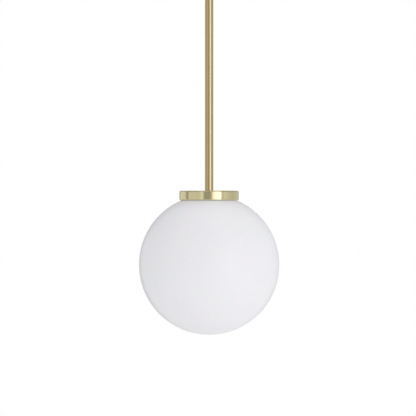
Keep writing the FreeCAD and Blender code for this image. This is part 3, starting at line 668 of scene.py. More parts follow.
def repeated_tree():
    """Sets a copy of one source piece at each point, turned by the point's own angles."""
    m = Maker("Repeated piece", Source=(OBJECT, None), Material=(MATERIAL, None))
    space = {"transform_space": "ORIGINAL"}
    source = m.add("GeometryNodeObjectInfo", space, {"Object": m.size("Source")}, "Geometry")
    turn = m.add("GeometryNodeInputNamedAttribute", {"data_type": "FLOAT_VECTOR"}, {"Name": "turn"})
    turn = m.add("FunctionNodeEulerToRotation", None, {"Euler": turn})
    sockets = {"Points": m.size("Geometry"), "Instance": source, "Rotation": turn}
    return m.finish(m.add("GeometryNodeInstanceOnPoints", None, sockets))


def wire_tree():
    """A round wire along a route, which keeps each point's place round the wire as a share of a turn."""
    m = Maker("Wire", Radius=(FLOAT, 1.0 * MM), Segments=(WHOLE, 24), Material=(MATERIAL, None))
    route = m.add("GeometryNodeMeshToCurve", None, {"Mesh": m.size("Geometry")})
    sockets = {"Resolution": m.size("Segments"), "Radius": m.size("Radius")}
    circle = m.add("GeometryNodeCurvePrimitiveCircle", None, sockets)
    share = m.add("GeometryNodeSplineParameter", None, None, "Factor")
    circle = m.add("GeometryNodeCaptureAttribute", {"captured": "FLOAT"}, {"Geometry": circle, 1: share})
    around = circle.output(1)
    tube = m.add("GeometryNodeCurveToMesh", None, {"Curve": route, "Profile Curve": circle, "Fill Caps": True})
    sockets = {"Geometry": tube, "Name": "around", "Value": around}
    tube = m.add("GeometryNodeStoreNamedAttribute", {"data_type": "FLOAT", "domain": "POINT"}, sockets)
    return m.finish(sharpened(m, tube, math.radians(50)))


TREES = {"turned": turned_tree, "repeated": repeated_tree, "wire": wire_tree}
BUILT_TREES = {}


def linked(name, data):
    """A new object in the scene."""
    obj = bpy.data.objects.new(name, data)
    bpy.context.scene.collection.objects.link(obj)
    return obj


def evaluated(obj):
    """A plain mesh of an object as its modifiers leave it."""
    bpy.context.view_layer.update()
    return bpy.data.meshes.new_from_object(obj.evaluated_get(bpy.context.evaluated_depsgraph_get()))


@contextlib.contextmanager
def reshaped(mesh):
    """The mesh opened for editing, and written back at the end."""
    shape = bmesh.new()
    shape.from_mesh(mesh)
    yield shape
    shape.to_mesh(mesh)
    shape.free()


def settled(obj):
    """Puts the result of an object's modifiers in place of its mesh, takes them off and gives the new mesh."""
    mesh = evaluated(obj)
    obj.modifiers.clear()
    obj.data = mesh
    return mesh


def shaped(name, base_mesh, tree_name, **sizes):
    """A plain mesh object: the base mesh put through a Geometry Nodes tree with these inputs."""
    if tree_name not in BUILT_TREES:
        BUILT_TREES[tree_name] = TREES[tree_name]()
    tree = BUILT_TREES[tree_name]
    obj = linked(name, base_mesh)
    modifier = obj.modifiers.new(tree.name, "NODES")
    modifier.node_group = tree
    for item in tree.interface.items_tree:
        key = item.name.lower().replace(" ", "_")
        if item.in_out == "INPUT" and key in sizes:
            modifier[item.identifier] = sizes[key]
    mesh = settled(obj)
    mesh.name = name
    bpy.data.meshes.remove(base_mesh)
    with reshaped(mesh) as shape:
        bmesh.ops.recalc_face_normals(shape, faces=shape.faces)
    return obj


def turned(name, points, material, segments, **thread):
    """A piece turned about the stem's axis. An outline that starts and ends on the axis closes itself there."""
    edges = [(k, k + 1) for k in range(len(points) - 1)]
    if max(points[0][0], points[-1][0]) >= TINY:
        edges.append((len(points) - 1, 0))
    base = bpy.data.meshes.new("outline")
    base.from_pydata([(r, -z, 0.0) for r, z in points], edges, [])
    return shaped(name, base, "turned", segments=segments, material=finish(material), **thread)


def repeated(body, node, name, source, places, material):
    """Copies of a source piece in place of a node, each at a place with the angles that turn it. The source is
    used up."""
    mesh = bpy.data.meshes.new("places")
    mesh.from_pydata([place for place, _ in places], [], [])
    turn = mesh.attributes.new("turn", "FLOAT_VECTOR", "POINT")
    turn.data.foreach_set("vector", [angle for _, euler in places for angle in euler])
    obj = shaped(name, mesh, "repeated", source=source, material=finish(material))
    bpy.data.objects.remove(source)
    seated(obj, body, node)


def wire(body, node, route, radius, material):
    """A wire in place of a node, along a smooth line through a given route."""
    curve = bpy.data.curves.new("route", "CURVE")
    curve.dimensions = "3D"
    curve.resolution_u = 10
    spline = curve.splines.new("NURBS")
    spline.points.add(len(route) - 1)
    for point, place in zip(spline.points, route):
        point.co = (*place, 1.0)
    spline.order_u = 3
    spline.use_endpoint_u = True
    holder = linked("route", curve)
    line = evaluated(holder)
    bpy.data.objects.remove(holder)
    seated(shaped(f"{node}_laid", line, "wire", radius=radius, material=finish(material)), body, node)


def softened(body, node, material, edge):
    """A copy of a CAD node in its place, with its flat faces joined up and its edges broken."""
    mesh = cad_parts[node].data.copy()
    with reshaped(mesh) as shape:
        bmesh.ops.remove_doubles(shape, verts=shape.verts, dist=TINY)
        bmesh.ops.dissolve_limit(shape, angle_limit=FLAT, verts=shape.verts, edges=shape.edges)
    finished(mesh, material)
    obj = linked(f"{node}_finished", mesh)
    bevel = obj.modifiers.new("Broken edges", "BEVEL")
    bevel.width = edge
    bevel.segments = 2
    bevel.limit_method = "ANGLE"
    bevel.angle_limit = EDGE_ANGLE
    bevel.use_clamp_overlap = True
    even = obj.modifiers.new("Even shading", "WEIGHTED_NORMAL")
    even.weight = 100
    even.keep_sharp = True
    for polygon in mesh.polygons:
        polygon.use_smooth = True
    settled(obj)
    seated(obj, body, node)


def block(name, size, lift=0.0):
    """A plain box on the stem's axis, with its middle at a height."""
    mesh = bpy.data.meshes.new(name)
    with reshaped(mesh) as shape:
        bmesh.ops.create_cube(shape, size=1.0)
        bmesh.ops.scale(shape, vec=size, verts=shape.verts)
        bmesh.ops.translate(shape, vec=(0, 0, lift), verts=shape.verts)
    return linked(name, mesh)


def seated(obj, body, node):
    """Puts a finished piece on its body, in place of its CAD node."""
    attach(obj, body)
    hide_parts(node)


def lathed(body, node, manner, points, material, segments=128, **thread):
    """A turned piece in place of a node, named after both."""
    seated(turned(f"{node}_{manner}", points, material, segments, **thread), body, node)


def finished(mesh, material):
    """Gives a mesh one finish in place of its own."""
    mesh.materials.clear()
    mesh.materials.append(finish(material))


def dressed(node, material):
    """Gives a CAD node that is shown as it is its finish."""
    finished(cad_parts[node].data, material)


def facing(direction, spin=0.0):
    """The angles that turn a piece's Z to a direction, after a spin about its own Z."""
    turn = Vector(direction).to_track_quat("Z", "Y").to_matrix()
    spun = turn @ turn.Rotation(spin, 3, "Z")
    return tuple(spun.to_euler())


def screws(body, node, material, head, shank, length, cut, places):
    """Cheese-head screws in place of a node. Each stands with its head's foot at its place. The head is
    (radius, height) with a driver slot cut across it, and the shank is a radius."""
    radius, height = head
    points = outline(
        (0.0, height), (radius, height, 0.3 * height), (radius, 0.0, 0.05 * height), (shank, 0.0),
        (shank, -length, 0.3 * shank), (0.0, -length),
    )
    screw = turned("screw", points, material, 40)
    blade = block("driver_slot", (4 * radius, cut, height), 0.95 * height)
    boolean = screw.modifiers.new("Slot", "BOOLEAN")
    boolean.object = blade
    boolean.operation = "DIFFERENCE"
    boolean.solver = "EXACT"
    settled(screw)
    bpy.data.objects.remove(blade)
    repeated(body, node, f"{node}_slotted", screw, places, material)


def hung_screws(node, material, head, shank, cut, spots):
    """Screws of the ceiling mount with their heads down, each at an x and a y with its slot at an angle."""
    low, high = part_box(node)
    places = [((x, y, low.z + head[1]), facing(DOWN, spin)) for x, y, spin in spots]
    screws("ceiling_mount", node, material, head, shank, high.z - low.z - head[1], cut, places)


def at_bearing(radius, angle):
    """The x and y of a point at a distance from the stem's axis and an angle in radians."""
    return radius * math.cos(angle), radius * math.sin(angle)


def on_axis(points):
    """The outline with its first and last points put exactly on the axis."""
    return [(0.0, points[0][1]), *points[1:-1], (0.0, points[-1][1])]


# ---- Pieces ----


class PENDANT_OT_globe(bpy.types.Operator):
    """Blow the opal glass globe with its neck and rolled rim"""

    bl_idname = "pendant.globe"
    bl_label = "Globe"

    def execute(self, context):
        sizes = context.scene.pendant_sizes
        wall, neck, shoulder = sizes.glass_wall, sizes.neck_radius, sizes.shoulder_radius
        shoulder_r = neck + shoulder
        shoulder_z = math.sqrt((GLOBE_RADIUS + shoulder) ** 2 - shoulder_r**2)
        lean = math.atan2(shoulder_z, shoulder_r)
        throat = math.atan2(math.sqrt(GLOBE_RADIUS**2 - neck**2), neck)
        throat_z = GLOBE_CENTRE + GLOBE_RADIUS * math.sin(throat)
        rim = GLOBE_HIGH - wall / 2
        middle, row = (0.0, GLOBE_CENTRE), 1.5 * MM
        fine = math.radians(1.25)
        points = arc(middle, GLOBE_RADIUS, -math.pi / 2, lean, fine)
        points += arc((shoulder_r, GLOBE_CENTRE + shoulder_z), shoulder, lean + math.pi, math.pi, math.radians(6))[1:]
        points += [(neck, z) for z in rows_between(points[-1][1], rim, row)[1:-1]]
        points += arc((neck - wall / 2, rim), wall / 2, 0.0, math.pi, math.radians(15))
        points += [(neck - wall, z) for z in rows_between(rim, throat_z, row)[1:-1]]
        points += arc((neck, throat_z), wall, math.pi, throat + math.pi, math.radians(10))
        points += arc(middle, GLOBE_RADIUS - wall, throat, -math.pi / 2, 2 * fine)[1:]
        seated(turned("opal_globe", on_axis(points), "opal_glass", 192), "globe", "globe")
        return {"FINISHED"}


class PENDANT_OT_cap(bpy.types.Operator):
    """Turn the brass cap over the globe's neck"""

    bl_idname = "pendant.cap"
    bl_label = "Cap"

    def execute(self, context):
        sizes = context.scene.pendant_sizes
        inside, ceiling = CAP_RADIUS - sizes.cap_wall, CAP_HIGH - sizes.cap_plate
        points = outline(
            (PLATE_HOLE, ceiling, 0.2 * MM), (inside, ceiling, 0.5 * MM), (inside, CAP_LOW, 0.3 * MM),
            (CAP_RADIUS, CAP_LOW, sizes.cap_lower_edge), (CAP_RADIUS, CAP_HIGH, sizes.cap_edge),
            (PLATE_HOLE, CAP_HIGH, 0.2 * MM),
        )
        seated(turned("neck_cap", points, "spun_brass", 192), "stem", "cap")
        return {"FINISHED"}


class PENDANT_OT_stem(bpy.types.Operator):
    """Draw the brass stem and cut its two hollow threaded nipples"""

    bl_idname = "pendant.stem"
    bl_label = "Stem"

    def execute(self, context):
        sizes = context.scene.pendant_sizes
        bore, grip, edge = STEM_RADIUS - sizes.stem_wall, 12.0 * MM, 0.25 * MM
        points = outline(
            (TAPPED, STEM_LOW, edge), (STEM_RADIUS, STEM_LOW, edge), (STEM_RADIUS, STEM_HIGH, edge),
            (TAPPED, STEM_HIGH, edge), (TAPPED, STEM_HIGH - grip), (bore, STEM_HIGH - grip),
            (bore, STEM_LOW + grip), (TAPPED, STEM_LOW + grip),
        )
        lathed("stem", "stem_tube", "drawn", points, "drawn_brass", 96)
        for node in ("upper_nipple", "lower_nipple"):
            self.nipple(node)
        return {"FINISHED"}

    def nipple(self, node):
        """A hollow rod with a fine thread along it."""
        radius, low, high = round_node(node)
        depth, pitch, inner = 0.5 * MM, 1.0 * MM, 3.7 * MM
        root = radius - depth
        rows = [(root, z) for z in rows_between(low + pitch / 2, high - pitch / 2, pitch / 6)]
        points = [(inner, low), (root, low), *rows, (root, high), (inner, high)]
        lathed(
            "stem", node, "threaded", points, "raw_brass", 40, thread_depth=depth, thread_pitch=pitch,
            thread_low=low, thread_high=high, thread_inner=inner + 0.3 * MM,
        )


class PENDANT_OT_canopy(bpy.types.Operator):
    """Spin the canopy and set its two side screws"""

    bl_idname = "pendant.canopy"
    bl_label = "Canopy"

    def execute(self, context):
        sizes = context.scene.pendant_sizes
        wall, edge, hole, rim = sizes.canopy_wall, sizes.canopy_edge, 11.9 * MM, 0.3 * MM
        inside, floor = CANOPY_RADIUS - wall, CANOPY_LOW + wall
        points = outline(
            (hole, CANOPY_LOW, 0.4 * MM), (CANOPY_RADIUS, CANOPY_LOW, edge), (CANOPY_RADIUS, CANOPY_HIGH, rim),
            (inside, CANOPY_HIGH, rim), (inside, floor, edge - wall), (hole, floor, 0.2 * MM),
        )
        lathed("ceiling_mount", "canopy", "spun", points, "spun_brass", 160)
        low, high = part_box("canopy_screws")
        head = ((high.y - low.y) / 2, high.x - CANOPY_RADIUS)
        middle = (low.z + high.z) / 2
        places = [
            ((side * CANOPY_RADIUS, 0.0, middle), facing((side, 0, 0), spin)) for side, spin in ((-1, 0.5), (1, 1.9))
        ]
        screws("ceiling_mount", "canopy_screws", "spun_brass", head, 2.0 * MM, 8.0 * MM, 1.1 * MM, places)
        return {"FINISHED"}


class PENDANT_OT_bracket(bpy.types.Operator):
    """Press the ceiling bracket and fit its terminal block and earth point"""

    bl_idname = "pendant.bracket"
    bl_label = "Ceiling bracket"

    def execute(self, context):
        softened("ceiling_mount", "ceiling_bracket", "zinc_plate", 0.25 * MM)
        softened("ceiling_mount", "terminal_block", "block_plastic", 0.3 * MM)
        dressed("terminal_inserts", "raw_brass")
        dressed("earth_lug", "tinned_copper")
        self.clamp_screws()
        self.fixing_screws()
        low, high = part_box("earth_screw")
        radius = (high.x - low.x) / 2
        spots = [(low.x + radius, low.y + radius, 0.8)]
        hung_screws("earth_screw", "raw_brass", (radius, 2.4 * MM), 2.0 * MM, 1.0 * MM, spots)
        return {"FINISHED"}

    def clamp_screws(self):
        """Two screws to each of three poles."""
        low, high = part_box("terminal_screws")
        radius = 1.2 * MM
        spread = random.Random(4)
        across = [low.x + radius + (high.x - low.x - 2 * radius) * k / 2 for k in range(3)]
        spots = [(x, y, spread.uniform(0, math.pi)) for x in across for y in (low.y + radius, high.y - radius)]
        hung_screws("terminal_screws", "zinc_plate", (radius, 1.2 * MM), 1.0 * MM, 0.5 * MM, spots)

    def fixing_screws(self):
        """The two screws that hold the block to the bracket."""
        low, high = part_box("terminal_fixings")
        radius, y = (high.y - low.y) / 2, (low.y + high.y) / 2
        spots = [(low.x + radius, y, 0.4), (high.x - radius, y, 2.2)]
        hung_screws("terminal_fixings", "zinc_plate", (radius, 1.5 * MM), 1.25 * MM, 0.6 * MM, spots)


class PENDANT_OT_swivel(bpy.types.Operator):
    """Turn the swivel's ball and its nylon seat, and dress the flex through them"""

    bl_idname = "pendant.swivel"
    bl_label = "Swivel"

    def execute(self, context):
        self.ball()
        self.seat()
        dressed("ball_grub_screw", "black_steel")
        for node, body in (("swivel_flex", "swivel"), ("stem_flex", "stem")):
            radius, low, high = round_node(node)
            points = [(0.0, low), *((radius, z) for z in rows_between(low, high, 1.0 * MM)), (0.0, high)]
            flex = turned(f"{node}_sheathed", points, "white_sheath", 40)
            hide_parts(node)
            if body == "swivel":
                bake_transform(flex)
            else:
                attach(flex, body)
        return {"FINISHED"}

    def ball(self):
        low, high = (z - PIVOT for z in round_node("swivel_ball")[1:])
        radius, throat, mouth = 14.0 * MM, 4.2 * MM, 7.0 * MM
        points = [(TAPPED, PIVOT + low)]
        points += arc(PIVOT_POINT[1:], radius, math.asin(low / radius), math.asin(high / radius), math.radians(4))
        points += [(mouth, PIVOT + high), (throat, PIVOT), (TAPPED, PIVOT)]
        lathed("stem", "swivel_ball", "turned", points, "raw_brass")

    def seat(self):
        outside, low, high = round_node("swivel_seat")
        hollow, bore, spigot, step = 14.06 * MM, 10.03 * MM, 11.83 * MM, low + 1.56 * MM
        bottom = math.asin(-math.sqrt(hollow**2 - bore**2) / hollow)
        top = math.asin((high - PIVOT) / hollow)
        points = outline(
            (bore, low, 0.2 * MM), (spigot, low, 0.3 * MM), (spigot, step), (outside, step, 0.3 * MM),
            (outside, high, 0.6 * MM), (hollow * math.cos(top), high),
        )
        points += arc(PIVOT_POINT[1:], hollow, top, bottom, math.radians(3))[1:]
        lathed("swivel", "swivel_seat", "turned", points, "nylon")


class PENDANT_OT_wires(bpy.types.Operator):
    """Lay the three cores and the earth lead"""

    bl_idname = "pendant.wires"
    bl_label = "Wiring"

    def execute(self, context):
        radius = context.scene.pendant_sizes.core_radius
        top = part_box("swivel_flex")[1].z
        bore_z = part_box("terminal_inserts")[0].z + 2.25 * MM
        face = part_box("terminal_block")[0].y
        colours = {"live": "brown_sheath", "neutral": "blue_sheath", "earth": "striped_sheath"}
        poles = {"live": POLE_PITCH, "neutral": 0.0, "earth": -POLE_PITCH}
        bearings = {"live": -30, "neutral": 90, "earth": 210}
        starts = {core: at_bearing(radius + 0.35 * MM, math.radians(angle)) for core, angle in bearings.items()}
        for core, material in colours.items():
            x, y = starts[core]
            pole = poles[core]
            route = [
                (x, y, top),
                (x, y, top + 4.6 * MM),
                (x * 0.4 + pole * 0.55, y * 0.5 + 10.0 * MM, top + 4.2 * MM),
                (pole, face - 5.0 * MM, bore_z),
                (pole, face, bore_z),
            ]
            wire("ceiling_mount", f"canopy_core_{core}", route, radius, material)
        self.earth_lead(radius, bore_z)
        self.holder_cores(radius, starts, colours)
        return {"FINISHED"}

    def earth_lead(self, radius, bore_z):
        """From the block's third pole round its end to the lug's barrel."""
        front, back = (corner.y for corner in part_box("terminal_block"))
        low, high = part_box("earth_lug")
        x, barrel, lug_z = (low.x + high.x) / 2, high.y - 3.0 * MM, -4.0 * MM
        route = [
            (-POLE_PITCH, back, bore_z),
            (-POLE_PITCH, back + 7.0 * MM, bore_z),
            (-23.0 * MM, back + 3.0 * MM, bore_z + 1.0 * MM),
            (x - 3.0 * MM, (back + front) / 2 - 6.0 * MM, bore_z + 3.0 * MM),
            (x, barrel + 8.0 * MM, lug_z),
            (x, barrel, lug_z),
        ]
        wire("ceiling_mount", "earth_lead", route, radius, "striped_sheath")

    def holder_cores(self, radius, starts, colours):
        """From the flex's end to each post: the post's x, y and radius in millimetres."""
        posts = {"live": (9.0, 0.0, 2.2), "neutral": (0.0, 12.0, 2.2), "earth": (-12.0, 0.0, 1.8)}
        for core, (post_x, post_y, post_radius) in posts.items():
            node = f"holder_core_{core}"
            low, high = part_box(node)
            reach = math.hypot(post_x, post_y)
            z = low.z + radius
            near, end = (
                (post_x * MM * (1 - gap / reach), post_y * MM * (1 - gap / reach), z)
                for gap in (post_radius + 2.6, post_radius)
            )
            x, y = starts[core]
            route = [(x, y, high.z), (x, y, high.z - 2.4 * MM), near, end]
            wire("stem", node, route, radius, colours[core])


class PENDANT_OT_clamp(bpy.types.Operator):
    """Fit what is clamped in the cap: gasket, spring carrier, sprung arms, washer and nut"""

    bl_idname = "pendant.clamp"
    bl_label = "Globe springs"

    def execute(self, context):
        radius, low, high = round_node("neck_gasket")
        points = ring(34.8 * MM, radius, low, high, 0.4 * MM, 0.4 * MM)
        lathed("stem", "neck_gasket", "moulded", points, "silicone")
        radius, low, high = round_node("spring_carrier")
        points = ring(PLATE_HOLE, radius, low, high, 0.25 * MM)
        lathed("stem", "spring_carrier", "pressed", points, "zinc_plate")
        for node in ("spring_arm_1", "spring_arm_2", "spring_arm_3"):
            softened("stem", node, "spring_steel", 0.12 * MM)
        self.rivets()
        self.washer()
        softened("stem", "lock_nut", "raw_brass", 0.15 * MM)
        return {"FINISHED"}

    def rivets(self):
        """Two domed rivets to each arm."""
        low, high = (corner.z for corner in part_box("spring_rivets"))
        shank, dome, rise = 1.5 * MM, 2.7 * MM, 1.2 * MM
        length = high - low
        head = [(0.0, 0.0), (1.0 * MM, 0.06 * MM), (1.9 * MM, 0.3 * MM), (2.5 * MM, 0.75 * MM)]
        points = head + [(dome, rise), (shank, rise), (shank, length), (0.0, length)]
        rivet = turned("rivet", points, "zinc_plate", 24)
        places = [
            ((*at_bearing(reach, math.pi / 2 + TAU * k / 3), low), (0.0, 0.0, 0.0))
            for k in range(3)
            for reach in (18.0 * MM, 25.0 * MM)
        ]
        repeated("stem", "spring_rivets", "spring_rivets_domed", rivet, places, "zinc_plate")

    def washer(self):
        """A lock washer: a ring with twisted teeth round it."""
        radius, low, high = round_node("lock_washer")
        middle, thin = (low + high) / 2, 0.25 * MM
        points = ring(PLATE_HOLE, radius - 1.6 * MM, middle - thin, middle + thin)
        lathed("stem", "lock_washer", "ring", points, "spring_steel", 96)
        tooth = block("tooth", (1.7 * MM, 1.7 * MM, 0.5 * MM))
        reach, twist, teeth = radius - 0.95 * MM, 0.16, 16
        angles = [TAU * k / teeth for k in range(teeth)]
        places = [((*at_bearing(reach, angle), middle), (twist, 0.0, angle)) for angle in angles]
        repeated("stem", "lock_washer", "lock_washer_teeth", tooth, places, "spring_steel")


class PENDANT_OT_holder(bpy.types.Operator):
    """Build the lampholder: domed cap, barrel, ceramic core, contacts and screw shell"""

    bl_idname = "pendant.holder"
    bl_label = "Lampholder"

    def execute(self, context):
        self.dome()
        self.barrel()
        self.screw_shell()
        softened("stem", "holder_insulator", "porcelain", 0.4 * MM)
        dressed("holder_grub_screw", "black_steel")
        dressed("holder_posts", "raw_brass")
        dressed("holder_centre_contact", "sheet_brass")
        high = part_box("holder_post_screws")[1]
        radius, height = 2.1 * MM, 1.5 * MM
        foot = high.z - height
        places = [((high.x - radius, 0.0, foot), (0.0, 0.0, 0.7)), ((0.0, high.y - radius, foot), (0.0, 0.0, 2.3))]
        screws("stem", "holder_post_screws", "zinc_plate", (radius, height), 0.95 * MM, 4.0 * MM, 0.6 * MM, places)
        return {"FINISHED"}

    def dome(self):
        radius, skirt, top = round_node("holder_cap")
        boss, skin, edge = 7.5 * MM, 1.0 * MM, 0.25 * MM
        inside, shoulder, spring, step = radius - skin, top - 5.0 * MM, top - 15.0 * MM, top - 7.0 * MM
        points = outline((TAPPED, top, 0.3 * MM), (boss, top, 0.6 * MM), (boss, shoulder))[:-1]
        points += arc_through((boss, shoulder), (16.4 * MM, top - 8.2 * MM), (radius, spring), math.radians(5))
        points += outline((radius, spring), (radius, skirt, edge), (inside, skirt, edge), (inside, spring))[1:-1]
        under = (15.6 * MM, top - 9.0 * MM)
        points += arc_through((inside, spring), under, (boss, shoulder - skin), math.radians(8))
        points += [(boss, step), (TAPPED, step)]
        lathed("stem", "holder_cap", "spun", points, "raw_brass")

    def barrel(self):
        radius, low, high = round_node("holder_shell")
        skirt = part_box("holder_cap")[0].z
        inside, neck, lip, mouth = radius - 2.1 * MM, radius - 1.05 * MM, low + 1.2 * MM, 15.1 * MM
        corners = [(inside, high), (neck, high), (neck, skirt), (radius, skirt, 0.25 * MM)]
        groove, depth = 0.7 * MM, 0.35 * MM
        for k in range(3):
            z = skirt - (6.0 + 2.4 * k) * MM
            corners += [(radius, z), (radius - depth, z - groove / 2), (radius, z - groove)]
        corners += [(radius, low, 1.0 * MM), (mouth, low, 0.3 * MM), (mouth, lip, 0.3 * MM), (inside, lip)]
        lathed("stem", "holder_shell", "turned", outline(*corners), "raw_brass")

    def screw_shell(self):
        """The sleeve that the lamp screws into, pressed from sheet with its thread."""
        low, high = (corner.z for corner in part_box("holder_screw_shell"))
        sheet, root, flange, hole = 0.35 * MM, 13.15 * MM, 14.6 * MM, 10.5 * MM
        first, last = low + 0.4 * MM, high - 1.6 * MM
        rows = rows_between(first, last, LAMP_PITCH / 10)
        under = high - sheet
        points = [(root, z) for z in rows] + [(root, under), (hole, under), (hole, high), (flange, high)]
        points += [(flange, under), (root + sheet, under - 0.02 * MM)]
        points += [(root + sheet, z) for z in reversed(rows)]
        lathed(
            "stem", "holder_screw_shell", "pressed", points, "sheet_brass", 96,
            thread_depth=0.45 * MM, thread_pitch=LAMP_PITCH, thread_low=first, thread_high=last,
        )


class PENDANT_OT_lamp(bpy.types.Operator):
    """Assemble the lamp: threaded shell, eyelet, housing, frosted bowl and its boards"""

    bl_idname = "pendant.lamp"
    bl_label = "Lamp"

    def execute(self, context):
        self.shell()
        self.tip()
        self.housing()
        self.bowl()
        self.boards()
        return {"FINISHED"}

    def shell(self):
        radius, low, high = round_node("lamp_cap")
        sheet, skirt = 0.5 * MM, low + 2.0 * MM
        root, inside = radius - 0.95 * MM, radius - sheet
        rows = rows_between(skirt, high, LAMP_PITCH / 12)
        points = outline((inside, low), (radius, low, 0.2 * MM), (radius, skirt, 0.3 * MM))
        points += [(root, z) for z in rows[1:]] + [(root - sheet, z) for z in rows[:0:-1]]
        points += [(inside, skirt - 0.5 * MM)]
        lathed(
            "lamp", "lamp_cap", "threaded", points, "nickel_plate", 96, thread_depth=0.9 * MM,
            thread_pitch=LAMP_PITCH, thread_low=skirt, thread_high=high, thread_outer=root + 0.1 * MM,
        )

    def tip(self):
        radius, low, high = round_node("lamp_insulator")
        points = outline((0.0, low), (radius, low, 0.3 * MM), (5.2 * MM, high, 0.5 * MM), (0.0, high))
        lathed("lamp", "lamp_insulator", "fused", points, "black_glass", 96)
        radius, low, high = round_node("lamp_eyelet")
        points = outline(
            (0.0, low), (radius, low), (radius, high - 0.35 * MM, 0.3 * MM), (2.4 * MM, high - 0.1 * MM, 0.8 * MM),
            (0.0, high),
        )
        lathed("lamp", "lamp_eyelet", "pressed", points, "nickel_plate", 64)

    def housing(self):
        """The flared body, with a fine groove above the seam with the bowl."""
        seam, low, high = round_node("lamp_housing")
        wall, neck, groove = 1.5 * MM, 13.5 * MM, 0.25 * MM
        collar, fine = low + 2.6 * MM, math.radians(2.5)
        middle = (0.54 * neck + 0.46 * seam, (high + collar) / 2)
        points = outline(
            (seam - wall, low), (seam, low, 0.2 * MM), (seam, low + 1.0 * MM), (seam - groove, low + 1.2 * MM)
        )
        points += [(seam - groove, low + 1.5 * MM), (seam, low + 1.7 * MM)]
        points += arc_through((seam, collar), middle, (neck, high), fine)
        points += arc_through((neck - wall, high), (middle[0] - wall, middle[1]), (seam - wall, collar), fine)
        lathed("lamp", "lamp_housing", "moulded", points, "lamp_plastic")

    def bowl(self):
        radius, low, high = round_node("lamp_diffuser")
        centre, fine = low + radius, math.radians(3)
        outer, inner = ((r, math.asin((high - centre) / r)) for r in (radius, radius - 1.5 * MM))
        middle = (0.0, centre)
        points = arc(middle, outer[0], -math.pi / 2, outer[1], fine) + arc(middle, *inner, -math.pi / 2, fine)
        lathed("lamp", "lamp_diffuser", "frosted", on_axis(points), "frosted_bowl")

    def boards(self):
        """The round board, its ring of packages, and the driver board."""
        radius, low, high = round_node("lamp_led_board")
        face = low + 0.7 * MM
        points = ring(0.0, radius, face, high, 0.15 * MM)
        lathed("lamp", "lamp_led_board", "masked", points, "white_board", 96)
        points = outline((0.0, 0.0), (1.5 * MM, 0.0), (1.4 * MM, 0.55 * MM, 0.2 * MM), (0.0, 0.68 * MM))
        package = turned("package", points, "phosphor", 16)
        reach, count = 17.05 * MM, 12
        places = [((*at_bearing(reach, TAU * k / count), face), facing(DOWN)) for k in range(count)]
        repeated("lamp", "lamp_led_board", "lamp_led_packages", package, places, "phosphor")
        softened("lamp", "lamp_driver", "green_board", 0.15 * MM)


# ---- Stage ----

# The width of the view at the stem, the camera's height over the globe's centre and its place left of the stem, and
# its focal length and sensor, all in metres.
PICTURE_WIDTH = 0.5935
PICTURE_RISE = 0.0808
CAMERA_LEFT = 0.0016
LENS = 0.300
SENSOR = 0.036

# The room's brightness round the horizon, by degrees from the viewer's side towards the right.
PANELS = (
    (-180, 0.55), (-174, 0.50), (-168, 0.12), (-158, 0.14), (-147, 0.86), (-136, 0.74), (-104, 0.72), (-99, 0.33),
    (-92, 0.33), (-87, 0.67), (-42, 0.66), (-34, 0.70), (-31, 0.84), (-25, 0.84), (-19, 0.36), (8, 0.36),
    (14, 1.1), (28, 1.5), (33, 2.0), (45, 2.0), (50, 0.54), (57, 0.54), (61, 0.76), (75, 0.66),
    (100, 0.56), (145, 0.62), (152, 0.62), (158, 0.38), (168, 0.38), (174, 0.52), (180, 0.55),
)
# Its brightness above and below, from straight down at 0 to straight up at 1.
HEIGHTS = ((0.0, 0.80), (0.33, 0.92), (0.64, 0.28), (0.94, 0.32), (0.97, 1.1), (1.0, 1.1))


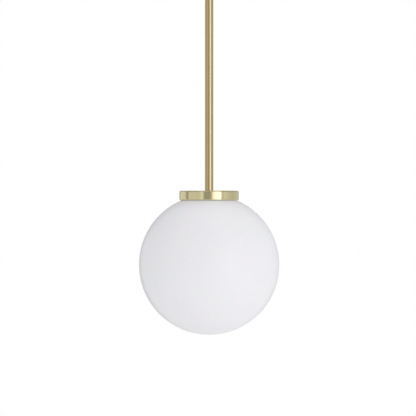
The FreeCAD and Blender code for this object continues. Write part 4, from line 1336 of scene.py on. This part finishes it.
class PENDANT_OT_stage(bpy.types.Operator):
    """Set the floor, the studio light and the camera"""

    bl_idname = "pendant.stage"
    bl_label = "Studio"

    def execute(self, context):
        self.floor(context.scene.pendant_sizes.floor_drop)
        self.light()
        self.camera()
        context.scene.view_settings.view_transform = "Standard"
        context.scene.view_settings.look = "None"
        return {"FINISHED"}

    def floor(self, drop):
        m = Finish("studio_floor")
        speckle = m.noise(m.place, 30.0, 4.0)
        tone = m.mix(speckle, (0.68, 0.68, 0.685), (0.70, 0.70, 0.705))
        FINISHES["studio_floor"] = m.done(Base_Color=tone, Roughness=0.6 + speckle * 0.1)
        reach, thick = 45.0, 0.02
        floor = turned("studio_floor", ring(0.0, reach, -drop, -drop - thick), "studio_floor", 96)
        floor.visible_diffuse = floor.visible_glossy = floor.visible_shadow = False

    def light(self):
        """A white room. Gloss sees panels and gaps, all other light from it is soft, and its backdrop is white."""
        world = bpy.data.worlds.new("Studio")
        bpy.context.scene.world = world
        world.use_nodes = True
        w = Nodes(world.node_tree)
        x, y, z = w.split(w.add("ShaderNodeTexCoord", None, None, "Generated"))
        turn = 0.5 + x.math("ARCTAN2", x, 0.0 - y) / TAU
        panels = w.ramp(turn, [(0.5 + degrees / 360, level) for degrees, level in PANELS])
        heights = w.ramp(0.5 + 0.5 * z, HEIGHTS)
        steep = w.remap(z.magnitude(), 0.20, 0.36, 0.0, 0.75)
        mirrored = w.between(steep, panels, heights)
        soft = 0.86 - 0.11 * y + 0.14 * x - 0.01 * z
        rays = w.add("ShaderNodeLightPath", None, None, "Is Glossy Ray")
        shown = w.between(rays.output("Is Camera Ray"), w.between(rays, soft, mirrored), 1.0)
        background = world.node_tree.nodes["Background"]
        w.tree.links.new(shown.socket, background.inputs["Strength"])
        background.inputs["Color"].default_value = (1.0, 1.0, 1.0, 1.0)

    def camera(self):
        lens = bpy.data.cameras.new("camera")
        lens.lens = LENS * 1000
        lens.sensor_width = SENSOR * 1000
        lens.clip_end = 100.0
        camera = linked("camera", lens)
        camera.location = (-CAMERA_LEFT, -PICTURE_WIDTH * LENS / SENSOR, GLOBE_CENTRE + PICTURE_RISE)
        camera.rotation_euler = (math.pi / 2, 0.0, 0.0)
        bpy.context.scene.camera = camera


# ---- Panel, registration and the build ----

STEPS = (
    PENDANT_OT_stage,
    PENDANT_OT_globe,
    PENDANT_OT_cap,
    PENDANT_OT_stem,
    PENDANT_OT_canopy,
    PENDANT_OT_bracket,
    PENDANT_OT_swivel,
    PENDANT_OT_wires,
    PENDANT_OT_clamp,
    PENDANT_OT_holder,
    PENDANT_OT_lamp,
)


class PENDANT_PT_pieces(bpy.types.Panel):
    """Lists the pendant's pieces, sizes and colours"""

    bl_idname = "PENDANT_PT_pieces"
    bl_label = "Globe pendant"
    bl_space_type = "VIEW_3D"
    bl_region_type = "UI"
    bl_category = "Pendant"

    def draw(self, context):
        column = self.layout.column(align=True)
        for step in STEPS:
            column.operator(step.bl_idname, text=step.bl_label)
        for group in (context.scene.pendant_sizes, context.scene.pendant_colours):
            box = self.layout.box()
            for name in group.__annotations__:
                box.prop(group, name)


CLASSES = (PendantSizes, PendantColours, *STEPS, PENDANT_PT_pieces)


def register():
    for item in CLASSES:
        bpy.utils.register_class(item)
    bpy.types.Scene.pendant_sizes = bpy.props.PointerProperty(type=PendantSizes)
    bpy.types.Scene.pendant_colours = bpy.props.PointerProperty(type=PendantColours)


def unregister():
    del bpy.types.Scene.pendant_colours
    del bpy.types.Scene.pendant_sizes
    for item in reversed(CLASSES):
        bpy.utils.unregister_class(item)


def main():
    register()
    for step in STEPS:
        group, name = step.bl_idname.split(".")
        getattr(getattr(bpy.ops, group), name)()
    bpy.context.view_layer.update()


if __name__ == "__main__":
    main()
